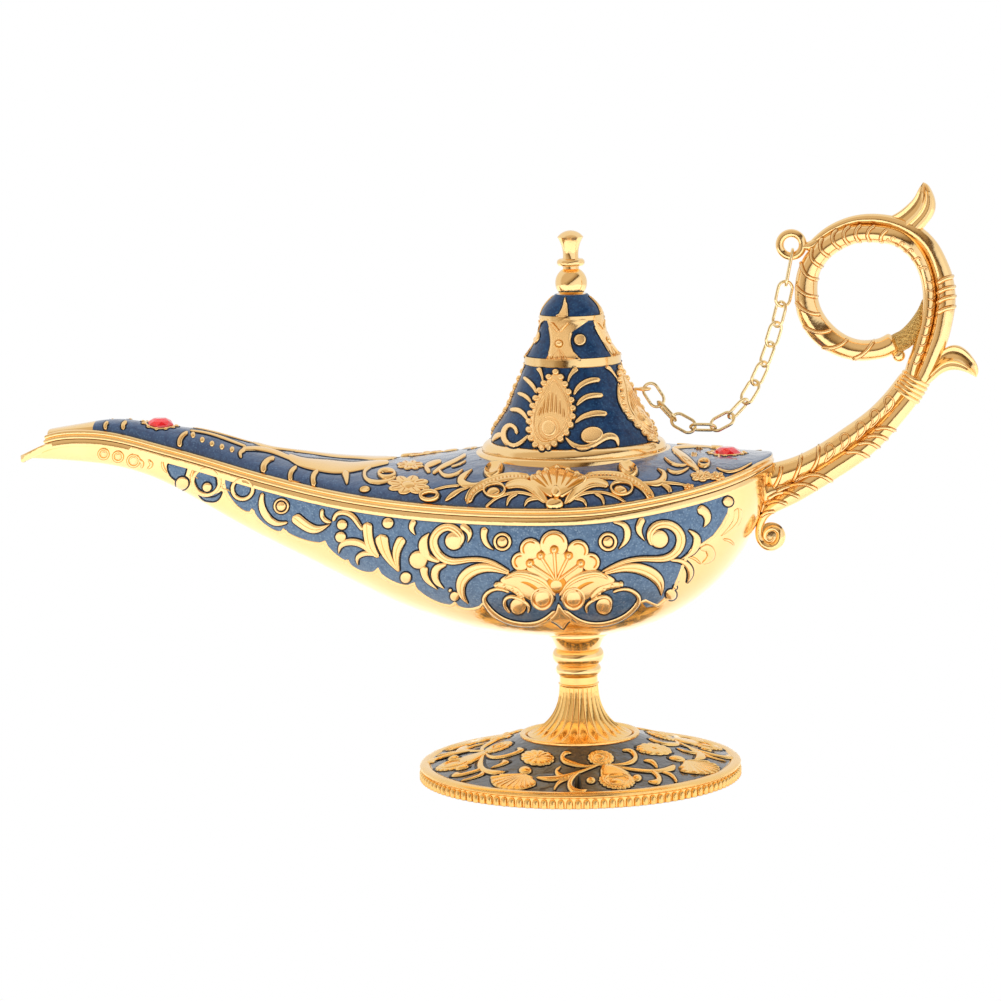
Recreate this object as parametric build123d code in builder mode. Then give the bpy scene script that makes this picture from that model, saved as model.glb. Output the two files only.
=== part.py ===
from build123d import *
import math
import os

# Genie oil lamp. X runs along the lamp, spout at -X and handle at +X, Y across, Z up.
# The origin is the centre of the foot's resting face.  All sizes are in millimetres.

# Clearances and walls
seat_gap = 0.05
skin_gap = 0.04
seam_gap = 0.15
running_gap = 0.3
screw_clearance = 0.1
overrun = 2.0

# Bowl and deck
spout_reach = 130.5
stern_reach = 45.0
hull_half_width = 35.0
keel_z = 32.9
hull_depth = 31.8
hull_wall = 1.2
lip_height = 1.7
recess_depth = 0.45
enamel_skin = 0.35
rim_height = 2.1
rim_width = 1.0
deck_wall = 1.2
crown_skin_share = 0.07
crown_gap_share = 0.01
crown_inset = 0.3

# Each row: place along the spout, then half width, seam, keel and crown heights
bow_shares = [
    (0.998, 0.014, 1.296, 1.277, None),
    (0.973, 0.063, 1.343, 1.274, None),
    (0.943, 0.100, 1.396, 1.269, 1.491),
    (0.889, 0.123, 1.431, 1.253, 1.528),
    (0.820, 0.146, 1.415, 1.217, 1.563),
    (0.743, 0.184, 1.346, 1.119, 1.525),
    (0.659, 0.240, 1.264, 0.939, 1.475),
    (0.575, 0.317, 1.179, 0.748, 1.374),
    (0.490, 0.417, 1.107, 0.579, 1.305),
    (0.406, 0.537, 1.053, 0.412, 1.264),
    (0.322, 0.669, 1.020, 0.252, 1.261),
    (0.238, 0.797, 1.003, 0.129, 1.299),
    (0.153, 0.909, 0.997, 0.042, 1.340),
    (0.077, 0.977, 0.997, 0.009, 1.365),
    (0.000, 1.000, 1.000, 0.000, 1.374),
]
# Each row: place along the stern, then seam and crown heights; the rest is an ellipse
stern_shares = [
    (0.222, 1.013, 1.371),
    (0.444, 1.050, 1.352),
    (0.622, 1.091, 1.321),
    (0.756, 1.129, 1.308),
    (0.856, 1.164, 1.308),
    (0.933, 1.201, 1.305),
    (0.982, 1.228, 1.311),
    (0.9967, 1.234, 1.313),
]
stern_keel_power = 0.6
cavity_stern_share = 0.94
channel_bow_share = 0.98
sleeve_bow_share = 0.858

# Enamel fields on the bowl: the scalloped lower border, as shares of the spout's or
# the stern's reach and of the hull's depth.  Each scallop is a cusp, its belly and a cusp.
field_bow_share = 0.715
field_stern_share = 0.82
border_shares = [
    (-0.705, 1.135), (-0.640, 1.045), (-0.560, 0.960),
    (-0.532, 0.805), (-0.502, 0.815),
    (-0.452, 0.705), (-0.423, 0.745),
    (-0.398, 0.600), (-0.382, 0.610),
    (-0.353, 0.505), (-0.326, 0.570),
    (-0.287, 0.425), (-0.261, 0.481),
    (-0.218, 0.300), (-0.187, 0.343),
    (-0.155, 0.280), (-0.135, 0.308),
    (-0.105, 0.165), (-0.040, 0.170),
    (-0.004, 0.125), (0.080, 0.170),
    (0.250, 0.165), (0.400, 0.240),
    (0.560, 0.400), (0.640, 0.560),
    (0.685, 0.650), (0.690, 0.755),
    (0.765, 0.815), (0.815, 0.985),
]

# Foot, stem and its clamp screw
foot_r = 37.0
foot_band_height = 2.7
reed_count = 120
reed_r = 0.92
foot_rim_r = 35.0
foot_rim_z = 3.4
foot_wall = 2.0
foot_rest_width = 3.2
foot_enamel_outer_r = 34.4
foot_ring_r = 13.7
foot_ring_z = 9.6
foot_ring_width = 1.2
foot_sag_share = 0.06
trumpet_foot_slope = 0.35
trumpet_neck_r = 4.4
trumpet_top_z = 21.5
neck_top_z = 23.5
collar_ring_top_z = 26.0
collar_ring_r = 5.2
collar_bead_top_z = 29.8
collar_bead_r = 5.9
collar_waist_r = 5.0
collar_flare_r = 6.9
collar_waist_lean = 0.3
collar_flare_slope = 0.6
screw_r = 2.0
screw_seat_z = 12.6
screw_head_r = 3.6
screw_head_height = 2.4
washer_r = 4.3
washer_height = 0.8
boss_r = 5.0
boss_height = 3.4
hex_sides = 6
nut_across = 7.0
nut_height = 3.2
screw_end_past_nut = 1.0

# Neck collar of the deck and the lid
neck_bore_r = 19.4
neck_collar_r = 22.3
neck_collar_top_z = 75.7
cap_seat_z = 74.9
cap_seat_r = 20.9
neck_skirt_z = 71.4
cap_wall = 1.2
cap_spigot_depth = 3.2
cap_ring_r = 20.6
cap_ring_height = 3.0
cap_ring_bulge = 0.25
cap_band_z = 95.3
cap_band_height = 1.8
cap_band_r = 11.0
cap_thin_band_z = 105.3
cap_thin_band_height = 1.0
cap_thin_band_r = 7.35
cap_top_z = 110.9
cap_enamel_depth = 0.45
# Points of the lid's outline: radius as a share of the ring's, height as a share of the lid's
cap_skirt_shares = [
    (0.917, 0.083), (0.885, 0.144), (0.801, 0.217), (0.711, 0.300), (0.636, 0.406), (0.578, 0.478),
    (0.522, 0.562),
]
cap_upper_shares = [(0.505, 0.618), (0.413, 0.697), (0.369, 0.758), (0.347, 0.844)]
cap_dome_shares = [(0.340, 0.873), (0.310, 0.915), (0.267, 0.947), (0.178, 1.000)]
medallion_count = 4
medallion_turn = 5.5
medallion_half_width = 3.9
medallion_bottom_z = 79.4
medallion_tip_z = 93.0
medallion_belly_share = 0.33
medallion_rise = 0.55
finial_ball_r = 3.6
finial_ball_z = 113.4
finial_neck_r = 1.8
finial_flange_z = 118.0
finial_flange_r = 3.15
finial_waist_r = 1.85
finial_waist_z = 121.0
finial_head_z = 123.7
finial_head_r = 2.95
finial_top_z = 125.2
finial_stud_r = 1.5
finial_stud_length = 3.6
finial_nut_across = 5.0
finial_nut_height = 1.6

# Gems on the deck's centre line
spout_gem_x = -96.7
stern_gem_x = 34.0
gem_r = 2.35
gem_height = 1.5
gem_facets = 8
bezel_r = 3.1
bezel_height = 0.9
bezel_sink = 0.45

# Handle
stem_root = (45.2, 66.0)
collar_centre = (76.4, 89.5)
collar_angle = 49.0
collar_length = 4.0
collar_half_width = 4.3
collar_half_depth = 3.4
collar_ridges = 4
collar_ridge_rise = 0.25
collar_groove_share = 0.25
strand_depth_share = 1.3
strand_depth_limit = 6.0
upper_stem_thickness = 5.6
lower_stem_thickness = 4.7
# Rows: place along X and Z between root and collar, and thickness
upper_stem_shares = [
    (-0.080, 0.085, 1.00), (0.003, 0.132, 1.00), (0.224, 0.255, 0.82), (0.375, 0.370, 0.70),
    (0.516, 0.485, 0.69), (0.650, 0.630, 0.70), (0.782, 0.787, 0.68),
]
lower_stem_shares = [
    (-0.110, -0.190, 0.90), (0.000, -0.119, 0.91), (0.176, 0.017, 0.78), (0.288, 0.085, 0.84),
    (0.445, 0.209, 0.91), (0.593, 0.332, 0.91), (0.737, 0.485, 0.89), (0.871, 0.660, 0.82),
]
inner_strand_offset = 2.0
outer_strand_offset = 2.15
strand_end_thickness = 3.8
ring_centre = (66.9, 111.2)
ring_r = 13.3
strand_thickness = 4.0
# Rows: angle round the finger ring, distance from its centre and thickness
ring_strand_shares = [
    (-48.4, 1.248, 0.84), (-27.6, 1.103, 0.73), (-7.6, 1.024, 0.73), (13.2, 0.992, 0.78),
    (30.4, 0.992, 0.85), (62.5, 0.992, 0.98), (94.0, 0.985, 1.03), (126.0, 1.007, 1.12),
    (150.0, 1.045, 1.21), (172.0, 1.053, 1.27), (194.0, 1.023, 1.27), (219.0, 0.970, 1.27),
    (247.0, 0.955, 1.22), (272.0, 0.992, 1.20), (288.0, 1.010, 1.15),
]
outer_strand_shares = [
    (-41.9, 1.597, 1.03), (-22.6, 1.414, 1.03), (-0.3, 1.292, 1.03), (21.4, 1.280, 1.00),
    (44.0, 1.283, 0.90), (67.4, 1.277, 0.82), (86.8, 1.250, 0.66), (105.6, 1.247, 0.55),
    (126.4, 1.237, 0.34), (137.4, 1.243, 0.17),
]
web_thickness = 1.2
web_inner_r = 11.2
web_outer_r = 12.6
web_start_angle = -66.0
web_end_angle = -25.0
ball_r = 1.45
ball_place = (73.6, 96.5)
leaf_length = 9.0
leaf_width = 7.4
leaf_depth = 4.6
top_leaf_angle = 62.0
top_leaf_base_r = 18.95
side_leaf_base = (84.4, 94.95)
side_leaf_angle = 10.0
# Rows: along and across from the base, heading and width
top_leaf_shares = [
    (0.000, 0.000, 62.0, 1.00), (0.249, -0.207, 66.0, 0.84), (0.551, -0.185, 68.0, 0.66),
    (0.790, -0.095, 76.0, 0.36), (0.920, 0.000, 95.0, 0.07),
]
side_leaf_shares = [
    (0.000, 0.000, -19.0, 0.96), (0.170, 0.080, -9.0, 0.80), (0.450, -0.050, -18.0, 0.62),
    (0.602, -0.264, -42.0, 0.37), (0.653, -0.488, -72.0, 0.07),
]
volute_centre = (44.5, 55.6)
volute_r = 3.8
volute_width = 5.4
handle_screw_heights = (69.4, 64.2)
handle_screw_r = 1.1
handle_screw_end_x = 48.0
handle_screw_head_r = 2.0
handle_screw_head_height = 1.3

# Chain and its two eyelets
eyelet_r = 3.5
eyelet_hole_r = 1.65
eyelet_angle = 149.0
eyelet_distance = 19.9
link_wire = 0.7
link_length = 6.4
link_width = 4.0
first_link_length = 9.0
link_gap = 0.3
cap_eyelet_z = 89.2
cap_eyelet_r = 1.3
cap_eyelet_wire = 0.7
cap_eyelet_post = 0.9
last_link_play = 0.5
link_twists = (84, 158, 46, 137, 48, 133, 36, 118, 33, 120, 26, 112, 14)
first_pull_share = 0.2
first_rise_share = 0.6
nudge_share = 0.0001
newton_steps = 30


# Shared shapes

def place_stations():
    """Every cross-section of bowl and deck: x, half width, seam, keel and crown heights."""
    rows = []
    for along, width, seam, keel, crown in bow_shares:
        rows.append((
            -along * spout_reach,
            width * hull_half_width,
            keel_z + seam * hull_depth,
            keel_z + keel * hull_depth,
            None if crown is None else keel_z + crown * hull_depth,
        ))
    for along, seam, crown in stern_shares:
        closing = 1 - along**2
        seam_z = keel_z + seam * hull_depth
        rows.append((
            along * stern_reach,
            hull_half_width * math.sqrt(closing),
            seam_z,
            seam_z - (seam_z - keel_z) * closing**stern_keel_power,
            keel_z + crown * hull_depth,
        ))
    return rows


stations = place_stations()


def station_plane(x):
    """Upright plane across the lamp; its own x is Y and its own y is Z."""
    return Plane(origin=(x, 0, 0), x_dir=(0, 1, 0), z_dir=(1, 0, 0))


def bowl_section(x, half_width, seam, keel, top_rise):
    """Half ellipse below the seam, with straight sides above it when it has to cut."""
    with BuildSketch(station_plane(x)) as section:
        with BuildLine():
            if top_rise > 0:
                Polyline(
                    (half_width, seam),
                    (half_width, seam + top_rise),
                    (-half_width, seam + top_rise),
                    (-half_width, seam),
                )
            else:
                Line((half_width, seam), (-half_width, seam))
            EllipticalCenterArc((0, seam), half_width, seam - keel, 180, arc_size=180)
        make_face()
    return section.sketch


def bowl_block(inset, top_rise, first_x, last_x):
    """The bowl's outer form drawn in by an inset, between two places along the lamp."""
    sections = []
    for x, half_width, seam, keel, crown in stations:
        if first_x <= x <= last_x:
            sections.append(bowl_section(x, half_width - inset, seam, keel + inset, top_rise))
    with BuildPart() as block:
        loft(sections)
    return block.part


def crown_section(x, half_width, base, height, drop):
    """Half ellipse above a base line, with straight sides below it when it has a drop."""
    with BuildSketch(station_plane(x)) as section:
        with BuildLine():
            if drop > 0:
                Polyline(
                    (-half_width, base),
                    (-half_width, base - drop),
                    (half_width, base - drop),
                    (half_width, base),
                )
            else:
                Line((-half_width, base), (half_width, base))
            EllipticalCenterArc((0, base), half_width, height, 0, arc_size=180)
        make_face()
    return section.sketch


def crown_block(side_inset, height_share, drop, lift):
    """The deck's crown above the top of its rim, raised by a lift; a cutter runs past its ends."""
    sections = []
    for x, half_width, seam, keel, crown in stations:
        if crown is None:
            continue
        base = seam + rim_height + lift
        sections.append(crown_section(
            x, half_width - rim_width - side_inset, base, (crown - base) * height_share, drop,
        ))
    with BuildPart() as block:
        loft(sections)
        if drop > 0:
            ends = block.faces().sort_by(Axis.X)
            extrude(ends[0], amount=overrun)
            extrude(ends[-1], amount=overrun)
    return block.part


def deck_block():
    """The deck's outer form: a straight-sided rim on the seam, a ledge and the crown."""
    sections = []
    for x, half_width, seam, keel, crown in stations:
        if crown is None:
            continue
        base = seam + rim_height
        crown_half = half_width - rim_width - crown_inset - skin_gap
        with BuildSketch(station_plane(x)) as section:
            with BuildLine():
                Polyline(
                    (-crown_half, base),
                    (-half_width, base),
                    (-half_width, seam + seam_gap),
                    (half_width, seam + seam_gap),
                    (half_width, base),
                    (crown_half, base),
                )
                EllipticalCenterArc(
                    (0, base), crown_half, (crown - base) * (1 - crown_skin_share), 0, arc_size=180,
                )
            make_face()
        sections.append(section.sketch)
    with BuildPart() as block:
        loft(sections)
    return block.part


def deck_cavity():
    """The space under the deck, open at the seam."""
    sections = []
    for x, half_width, seam, keel, crown in stations:
        if crown is None or x > stern_reach * cavity_stern_share:
            continue
        sections.append(crown_section(
            x, half_width - hull_wall, seam, crown - deck_wall - seam, overrun,
        ))
    with BuildPart() as block:
        loft(sections)
        mouth = block.faces().sort_by(Axis.X)[0]
        extrude(mouth, amount=overrun)
    return block.part


def rod_sections(points, first_heading=None, last_heading=None):
    """Oval sections square to a path of (x, z, thickness) in the plane Y = 0."""
    sections = []
    count = len(points)
    for i, (x, z, thickness) in enumerate(points):
        before = points[max(i - 1, 0)]
        after = points[min(i + 1, count - 1)]
        heading = math.atan2(after[1] - before[1], after[0] - before[0])
        if i == 0 and first_heading is not None:
            heading = math.radians(first_heading)
        if i == count - 1 and last_heading is not None:
            heading = math.radians(last_heading)
        across = Plane(
            origin=(x, 0, z),
            x_dir=(0, 1, 0),
            z_dir=(math.cos(heading), 0, math.sin(heading)),
        )
        depth = min(thickness * strand_depth_share, strand_depth_limit)
        with BuildSketch(across) as section:
            Ellipse(depth / 2, thickness / 2)
        sections.append(section.sketch)
    return sections


def about_ring(angle, distance):
    """Point in the handle's plane at an angle and distance from the finger ring's centre."""
    turn = math.radians(angle)
    return (ring_centre[0] + distance * math.cos(turn), ring_centre[1] + distance * math.sin(turn))


def hex_nut(bottom_z, across, height, hole_r):
    """Six-sided nut standing on its face, with a plain bore."""
    with BuildPart() as nut:
        with BuildSketch(Plane.XY.offset(bottom_z)):
            RegularPolygon(across / 2, hex_sides, major_radius=False)
            Circle(hole_r, mode=Mode.SUBTRACT)
        extrude(amount=height)
    return nut.part


def finish(piece, label):
    """Names a finished piece and writes it out."""
    piece.label = label
    export_step(piece, f"parts/{label}.step")
    print(label, len(piece.solids()), round(piece.volume, 1))


os.makedirs("parts", exist_ok=True)

# Foot: reeded band, shallow dome with an enamel recess, ring and trumpet

foot_height = foot_ring_z - foot_rim_z
dome_mid = (
    (foot_rim_r + foot_ring_r) / 2,
    (foot_rim_z + foot_ring_z) / 2 - foot_height * foot_sag_share,
)


def dome_line(drop):
    """The dome's outline from rim to ring, lowered by a drop."""
    ThreePointArc(
        (foot_rim_r, foot_rim_z - drop),
        (dome_mid[0], dome_mid[1] - drop),
        (foot_ring_r, foot_ring_z - drop),
    )


with BuildPart() as foot:
    with BuildSketch(Plane.XZ):
        with BuildLine():
            Line((0, 0), (foot_r - reed_r, 0))
            Line((foot_r - reed_r, 0), (foot_r - reed_r, foot_band_height))
            Line((foot_r - reed_r, foot_band_height), (foot_rim_r, foot_rim_z))
            dome_line(0)
            Line((foot_ring_r, foot_ring_z), (foot_ring_r - foot_ring_width, foot_ring_z + seat_gap))
            Spline(
                (foot_ring_r - foot_ring_width, foot_ring_z + seat_gap),
                (trumpet_neck_r, trumpet_top_z),
                tangents=[(-1, trumpet_foot_slope), (0, 1)],
            )
            Line((trumpet_neck_r, trumpet_top_z), (trumpet_neck_r, neck_top_z))
            Line((trumpet_neck_r, neck_top_z), (0, neck_top_z))
            Line((0, neck_top_z), (0, 0))
        make_face()
    revolve(axis=Axis.Z)
    with BuildSketch(Plane.XY):
        with PolarLocations(foot_r - reed_r, reed_count):
            Circle(reed_r)
    extrude(amount=foot_band_height)
    with BuildSketch(Plane.XZ):
        with BuildLine():
            hollow_r = foot_r - foot_rest_width
            Polyline((0, -overrun), (hollow_r, -overrun), (hollow_r, foot_rim_z - foot_wall))
            ThreePointArc(
                (hollow_r, foot_rim_z - foot_wall),
                (dome_mid[0], dome_mid[1] - foot_wall),
                (foot_ring_r, foot_ring_z - foot_wall),
            )
            Polyline(
                (foot_ring_r, foot_ring_z - foot_wall),
                (washer_r + screw_clearance, screw_seat_z),
                (0, screw_seat_z),
                (0, -overrun),
            )
        make_face()
    revolve(axis=Axis.Z, mode=Mode.SUBTRACT)
    with BuildSketch(Plane.XY):
        Circle(screw_r + screw_clearance)
    extrude(amount=neck_top_z, mode=Mode.SUBTRACT)
    with BuildSketch(Plane.XZ):
        with BuildLine():
            dome_line(recess_depth)
            Line((foot_ring_r, foot_ring_z - recess_depth), (foot_ring_r, foot_ring_z + overrun))
            Line((foot_ring_r, foot_ring_z + overrun), (foot_enamel_outer_r, foot_ring_z + overrun))
            Line((foot_enamel_outer_r, foot_ring_z + overrun), (foot_rim_r, foot_rim_z - recess_depth))
        make_face()
        with BuildLine():
            Polyline(
                (foot_enamel_outer_r, 0),
                (foot_r, 0),
                (foot_r, foot_ring_z + overrun),
                (foot_enamel_outer_r, foot_ring_z + overrun),
                close=True,
            )
        make_face(mode=Mode.SUBTRACT)
    revolve(axis=Axis.Z, mode=Mode.SUBTRACT)
finish(foot.part, "foot")

with BuildPart() as foot_enamel:
    with BuildSketch(Plane.XZ):
        with BuildLine():
            dome_line(skin_gap)
            skin_foot_z = foot_ring_z - skin_gap - enamel_skin
            Line((foot_ring_r, foot_ring_z - skin_gap), (foot_ring_r, skin_foot_z))
            dome_line(skin_gap + enamel_skin)
            Line((foot_rim_r, foot_rim_z - skin_gap - enamel_skin), (foot_rim_r, foot_rim_z - skin_gap))
        make_face()
    revolve(axis=Axis.Z)
    with BuildSketch(Plane.XY):
        Circle(foot_r)
        Circle(foot_enamel_outer_r - seat_gap, mode=Mode.SUBTRACT)
        Circle(foot_ring_r + seat_gap)
    extrude(amount=foot_ring_z + overrun, mode=Mode.SUBTRACT)
finish(foot_enamel.part, "foot_enamel")

# Bowl with its two enamel fields

channel_x = -spout_reach * channel_bow_share
cavity_x = max(row[0] for row in stations if row[0] <= stern_reach * cavity_stern_share)
bowl_form = bowl_block(0, 0, -spout_reach, stern_reach)


def border_point(along, height):
    """A point of the enamel's lower border, seen from the side."""
    reach = spout_reach if along < 0 else stern_reach
    return (along * reach, keel_z + height * hull_depth)


def field_top():
    """Points of the enamel's upper border, a lip's height below the seam."""
    low = -field_bow_share * spout_reach
    high = field_stern_share * stern_reach
    return [(row[0], row[2] - lip_height) for row in stations if low < row[0] < high]


def field_prism(side):
    """The enamel field's outline carried through one half of the bowl, near -1 or far 1."""
    top = field_top()
    border = [border_point(*row) for row in border_shares]
    with BuildPart() as prism:
        with BuildSketch(Plane(origin=(0, 0, 0), x_dir=(1, 0, 0), z_dir=(0, -1, 0))):
            with BuildLine():
                Spline(*top)
                Line(top[0], border[0])
                for i in range(0, len(border) - 2, 2):
                    ThreePointArc(border[i], border[i + 1], border[i + 2])
                Line(border[-1], top[-1])
            make_face()
        extrude(amount=-side * (hull_half_width + overrun))
    return prism.part


def field_skin(side, outer_inset, inner_inset):
    """A skin of the bowl between two insets, as large as one enamel field."""
    bow_end = -spout_reach * sleeve_bow_share
    with BuildPart() as skin:
        add(bowl_block(outer_inset, 0, bow_end, cavity_x))
        add(bowl_block(inner_inset, overrun, channel_x, stern_reach), mode=Mode.SUBTRACT)
        add(field_prism(side), mode=Mode.INTERSECT)
    return skin.part


with BuildPart() as hull:
    add(bowl_form)
    add(bowl_block(hull_wall, overrun, channel_x, cavity_x), mode=Mode.SUBTRACT)
    with BuildSketch(Plane.XY.offset(keel_z + hull_wall / 2)):
        Circle(boss_r)
    extrude(amount=boss_height - hull_wall / 2)
    with BuildSketch(Plane.XY.offset(keel_z - overrun)):
        Circle(screw_r + screw_clearance)
    extrude(amount=boss_height + 2 * overrun, mode=Mode.SUBTRACT)
    for height in handle_screw_heights:
        with BuildSketch(station_plane(cavity_x - overrun)):
            with Locations((0, height)):
                Circle(handle_screw_r + screw_clearance)
        extrude(amount=overrun + stern_reach, mode=Mode.SUBTRACT)
    for side in (-1, 1):
        add(field_skin(side, -overrun, recess_depth), mode=Mode.SUBTRACT)
finish(hull.part, "hull")

for side, name in ((-1, "hull_enamel_near"), (1, "hull_enamel_far")):
    finish(field_skin(side, skin_gap, skin_gap + enamel_skin), name)

# Deck: rim, crown, neck and the gems' seats

gem_places = (("spout", spout_gem_x), ("stern", stern_gem_x))
sleeve_x = -spout_reach * sleeve_bow_share


def crown_height(x):
    """Height of the deck's crown on the centre line, between its stations."""
    rows = [(row[0], row[4]) for row in stations if row[4] is not None]
    for (x0, z0), (x1, z1) in zip(rows, rows[1:]):
        if x0 <= x <= x1:
            return z0 + (z1 - z0) * (x - x0) / (x1 - x0)
    return rows[-1][1]


with BuildPart() as deck:
    add(deck_block())
    with BuildSketch(Plane.XY.offset(neck_skirt_z)):
        Circle(neck_collar_r)
    extrude(amount=crown_height(0) + overrun - neck_skirt_z, mode=Mode.SUBTRACT)
    add(deck_cavity(), mode=Mode.SUBTRACT)
    with BuildSketch(Plane.XZ):
        with BuildLine():
            Polyline(
                (neck_bore_r, neck_skirt_z - running_gap),
                (neck_collar_r + seat_gap, neck_skirt_z - running_gap),
                (neck_collar_r + seat_gap, neck_collar_top_z - rim_width / 2),
                (neck_collar_r - rim_width / 2, neck_collar_top_z),
                (cap_seat_r, neck_collar_top_z),
                (cap_seat_r, cap_seat_z),
                (neck_bore_r, cap_seat_z),
                close=True,
            )
        make_face()
    revolve(axis=Axis.Z)
    for name, x in gem_places:
        with BuildSketch(Plane.XY.offset(crown_height(x) - bezel_sink)):
            with Locations((x, 0)):
                Circle(bezel_r + seat_gap)
        extrude(amount=bezel_height + overrun, mode=Mode.SUBTRACT)
finish(deck.part, "deck")

with BuildPart() as crown_skin:
    add(crown_block(0, 1, 0, skin_gap))
    add(
        crown_block(crown_inset, 1 - crown_skin_share + crown_gap_share, overrun, skin_gap),
        mode=Mode.SUBTRACT,
    )
    with BuildSketch(Plane.XY.offset(keel_z)):
        Circle(neck_collar_r + 2 * seat_gap)
        for name, x in gem_places:
            with Locations((x, 0)):
                Circle(bezel_r + seat_gap)
    extrude(amount=2 * hull_depth, mode=Mode.SUBTRACT)
    split(bisect_by=Plane.YZ.offset(sleeve_x), keep=Keep.BOTH)

skin_pieces = crown_skin.part.solids().sort_by(Axis.X)
with BuildPart() as spout_sleeve:
    add(skin_pieces[0])
finish(spout_sleeve.part, "spout_sleeve")

with BuildPart() as deck_enamel:
    add(skin_pieces[-1])
finish(deck_enamel.part, "deck_enamel")

for name, x in gem_places:
    seat_z = crown_height(x) - bezel_sink + seat_gap
    with BuildPart() as bezel:
        with BuildSketch(Plane.XY.offset(seat_z)):
            with Locations((x, 0)):
                Circle(bezel_r)
        extrude(amount=bezel_height + bezel_sink)
        fillet(bezel.edges().sort_by(Axis.Z)[-1], bezel_height / 2)
        with BuildSketch(Plane.XY.offset(seat_z + bezel_sink)):
            with Locations((x, 0)):
                Circle(gem_r + seat_gap)
        extrude(amount=bezel_height + overrun, mode=Mode.SUBTRACT)
    finish(bezel.part, f"{name}_bezel")
    gem_z = seat_z + bezel_sink + seat_gap
    with BuildPart() as gem:
        with BuildSketch(Plane.XY.offset(gem_z)):
            with Locations((x, 0)):
                RegularPolygon(gem_r, gem_facets)
        with BuildSketch(Plane.XY.offset(gem_z + gem_height / 2)):
            with Locations((x, 0)):
                RegularPolygon(gem_r, gem_facets)
        loft()
        with BuildSketch(Plane.XY.offset(gem_z + gem_height / 2)):
            with Locations((x, 0)):
                RegularPolygon(gem_r, gem_facets)
        with BuildSketch(Plane.XY.offset(gem_z + gem_height)):
            with Locations((x, 0)):
                RegularPolygon(gem_r / 2, gem_facets)
        loft()
    finish(gem.part, f"{name}_gem")

# Stem collar, clamp screw, washer and nut

with BuildPart() as stem_collar:
    with BuildSketch(Plane.XZ):
        with BuildLine():
            Polyline(
                (screw_r + screw_clearance, neck_top_z + seat_gap),
                (trumpet_neck_r, neck_top_z + seat_gap),
            )
            ThreePointArc(
                (trumpet_neck_r, neck_top_z + seat_gap),
                (collar_ring_r, (neck_top_z + collar_ring_top_z) / 2),
                (trumpet_neck_r, collar_ring_top_z),
            )
            ThreePointArc(
                (trumpet_neck_r, collar_ring_top_z),
                (collar_bead_r, (collar_ring_top_z + collar_bead_top_z) / 2),
                (collar_waist_r, collar_bead_top_z),
            )
            Spline(
                (collar_waist_r, collar_bead_top_z),
                (collar_flare_r, keel_z),
                tangents=[(collar_waist_lean, 1), (1, collar_flare_slope)],
            )
            Polyline(
                (collar_flare_r, keel_z),
                (collar_flare_r, keel_z + hull_wall),
                (screw_r + screw_clearance, keel_z + hull_wall),
                (screw_r + screw_clearance, neck_top_z + seat_gap),
            )
        make_face()
    revolve(axis=Axis.Z)
    add(bowl_block(-seat_gap, 0, -spout_reach, stern_reach), mode=Mode.SUBTRACT)
finish(stem_collar.part, "stem_collar")

nut_seat_z = keel_z + boss_height + seat_gap
with BuildPart() as foot_washer:
    with BuildSketch(Plane.XY.offset(screw_seat_z - seat_gap - washer_height)):
        Circle(washer_r)
        Circle(screw_r + screw_clearance, mode=Mode.SUBTRACT)
    extrude(amount=washer_height)
finish(foot_washer.part, "foot_washer")

screw_head_top_z = screw_seat_z - 2 * seat_gap - washer_height
with BuildPart() as foot_screw:
    with BuildSketch(Plane.XY.offset(screw_head_top_z)):
        Circle(screw_r)
    extrude(amount=nut_seat_z + nut_height + screw_end_past_nut - screw_head_top_z)
    with BuildSketch(Plane.XY.offset(screw_head_top_z - screw_head_height)):
        Circle(screw_head_r)
    extrude(amount=screw_head_height)
    with BuildSketch(Plane.XY.offset(screw_head_top_z - screw_head_height)):
        RegularPolygon(screw_r, hex_sides)
    extrude(amount=screw_head_height / 2, mode=Mode.SUBTRACT)
finish(foot_screw.part, "foot_screw")
finish(hex_nut(nut_seat_z, nut_across, nut_height, screw_r + seat_gap), "foot_nut")

# Lid: shell with two bands, three enamel rings, medallions, finial and eyelet

cap_height = cap_top_z - cap_seat_z
cap_base_z = cap_seat_z + seat_gap


def cap_points(shares, inset):
    """Points of one stretch of the lid's outline, drawn in by an inset."""
    return [(cap_ring_r * r - inset, cap_seat_z + z * cap_height) for r, z in shares]


def cap_radius(z):
    """The lid's radius at a height on its skirt."""
    points = cap_points(cap_skirt_shares, 0)
    for (r0, z0), (r1, z1) in zip(points, points[1:]):
        if z0 <= z <= z1:
            return r0 + (r1 - r0) * (z - z0) / (z1 - z0)
    return points[-1][0]


def cap_skin(shares, outer_inset, inner_inset):
    """A ring of the lid's surface between two insets, turned about its axis."""
    outer = cap_points(shares, outer_inset)
    inner = cap_points(shares, inner_inset)
    with BuildPart() as ring:
        with BuildSketch(Plane.XZ):
            with BuildLine():
                Spline(*outer)
                Line(outer[-1], inner[-1])
                Spline(*inner)
                Line(inner[0], outer[0])
            make_face()
        revolve(axis=Axis.Z)
    return ring.part


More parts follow.
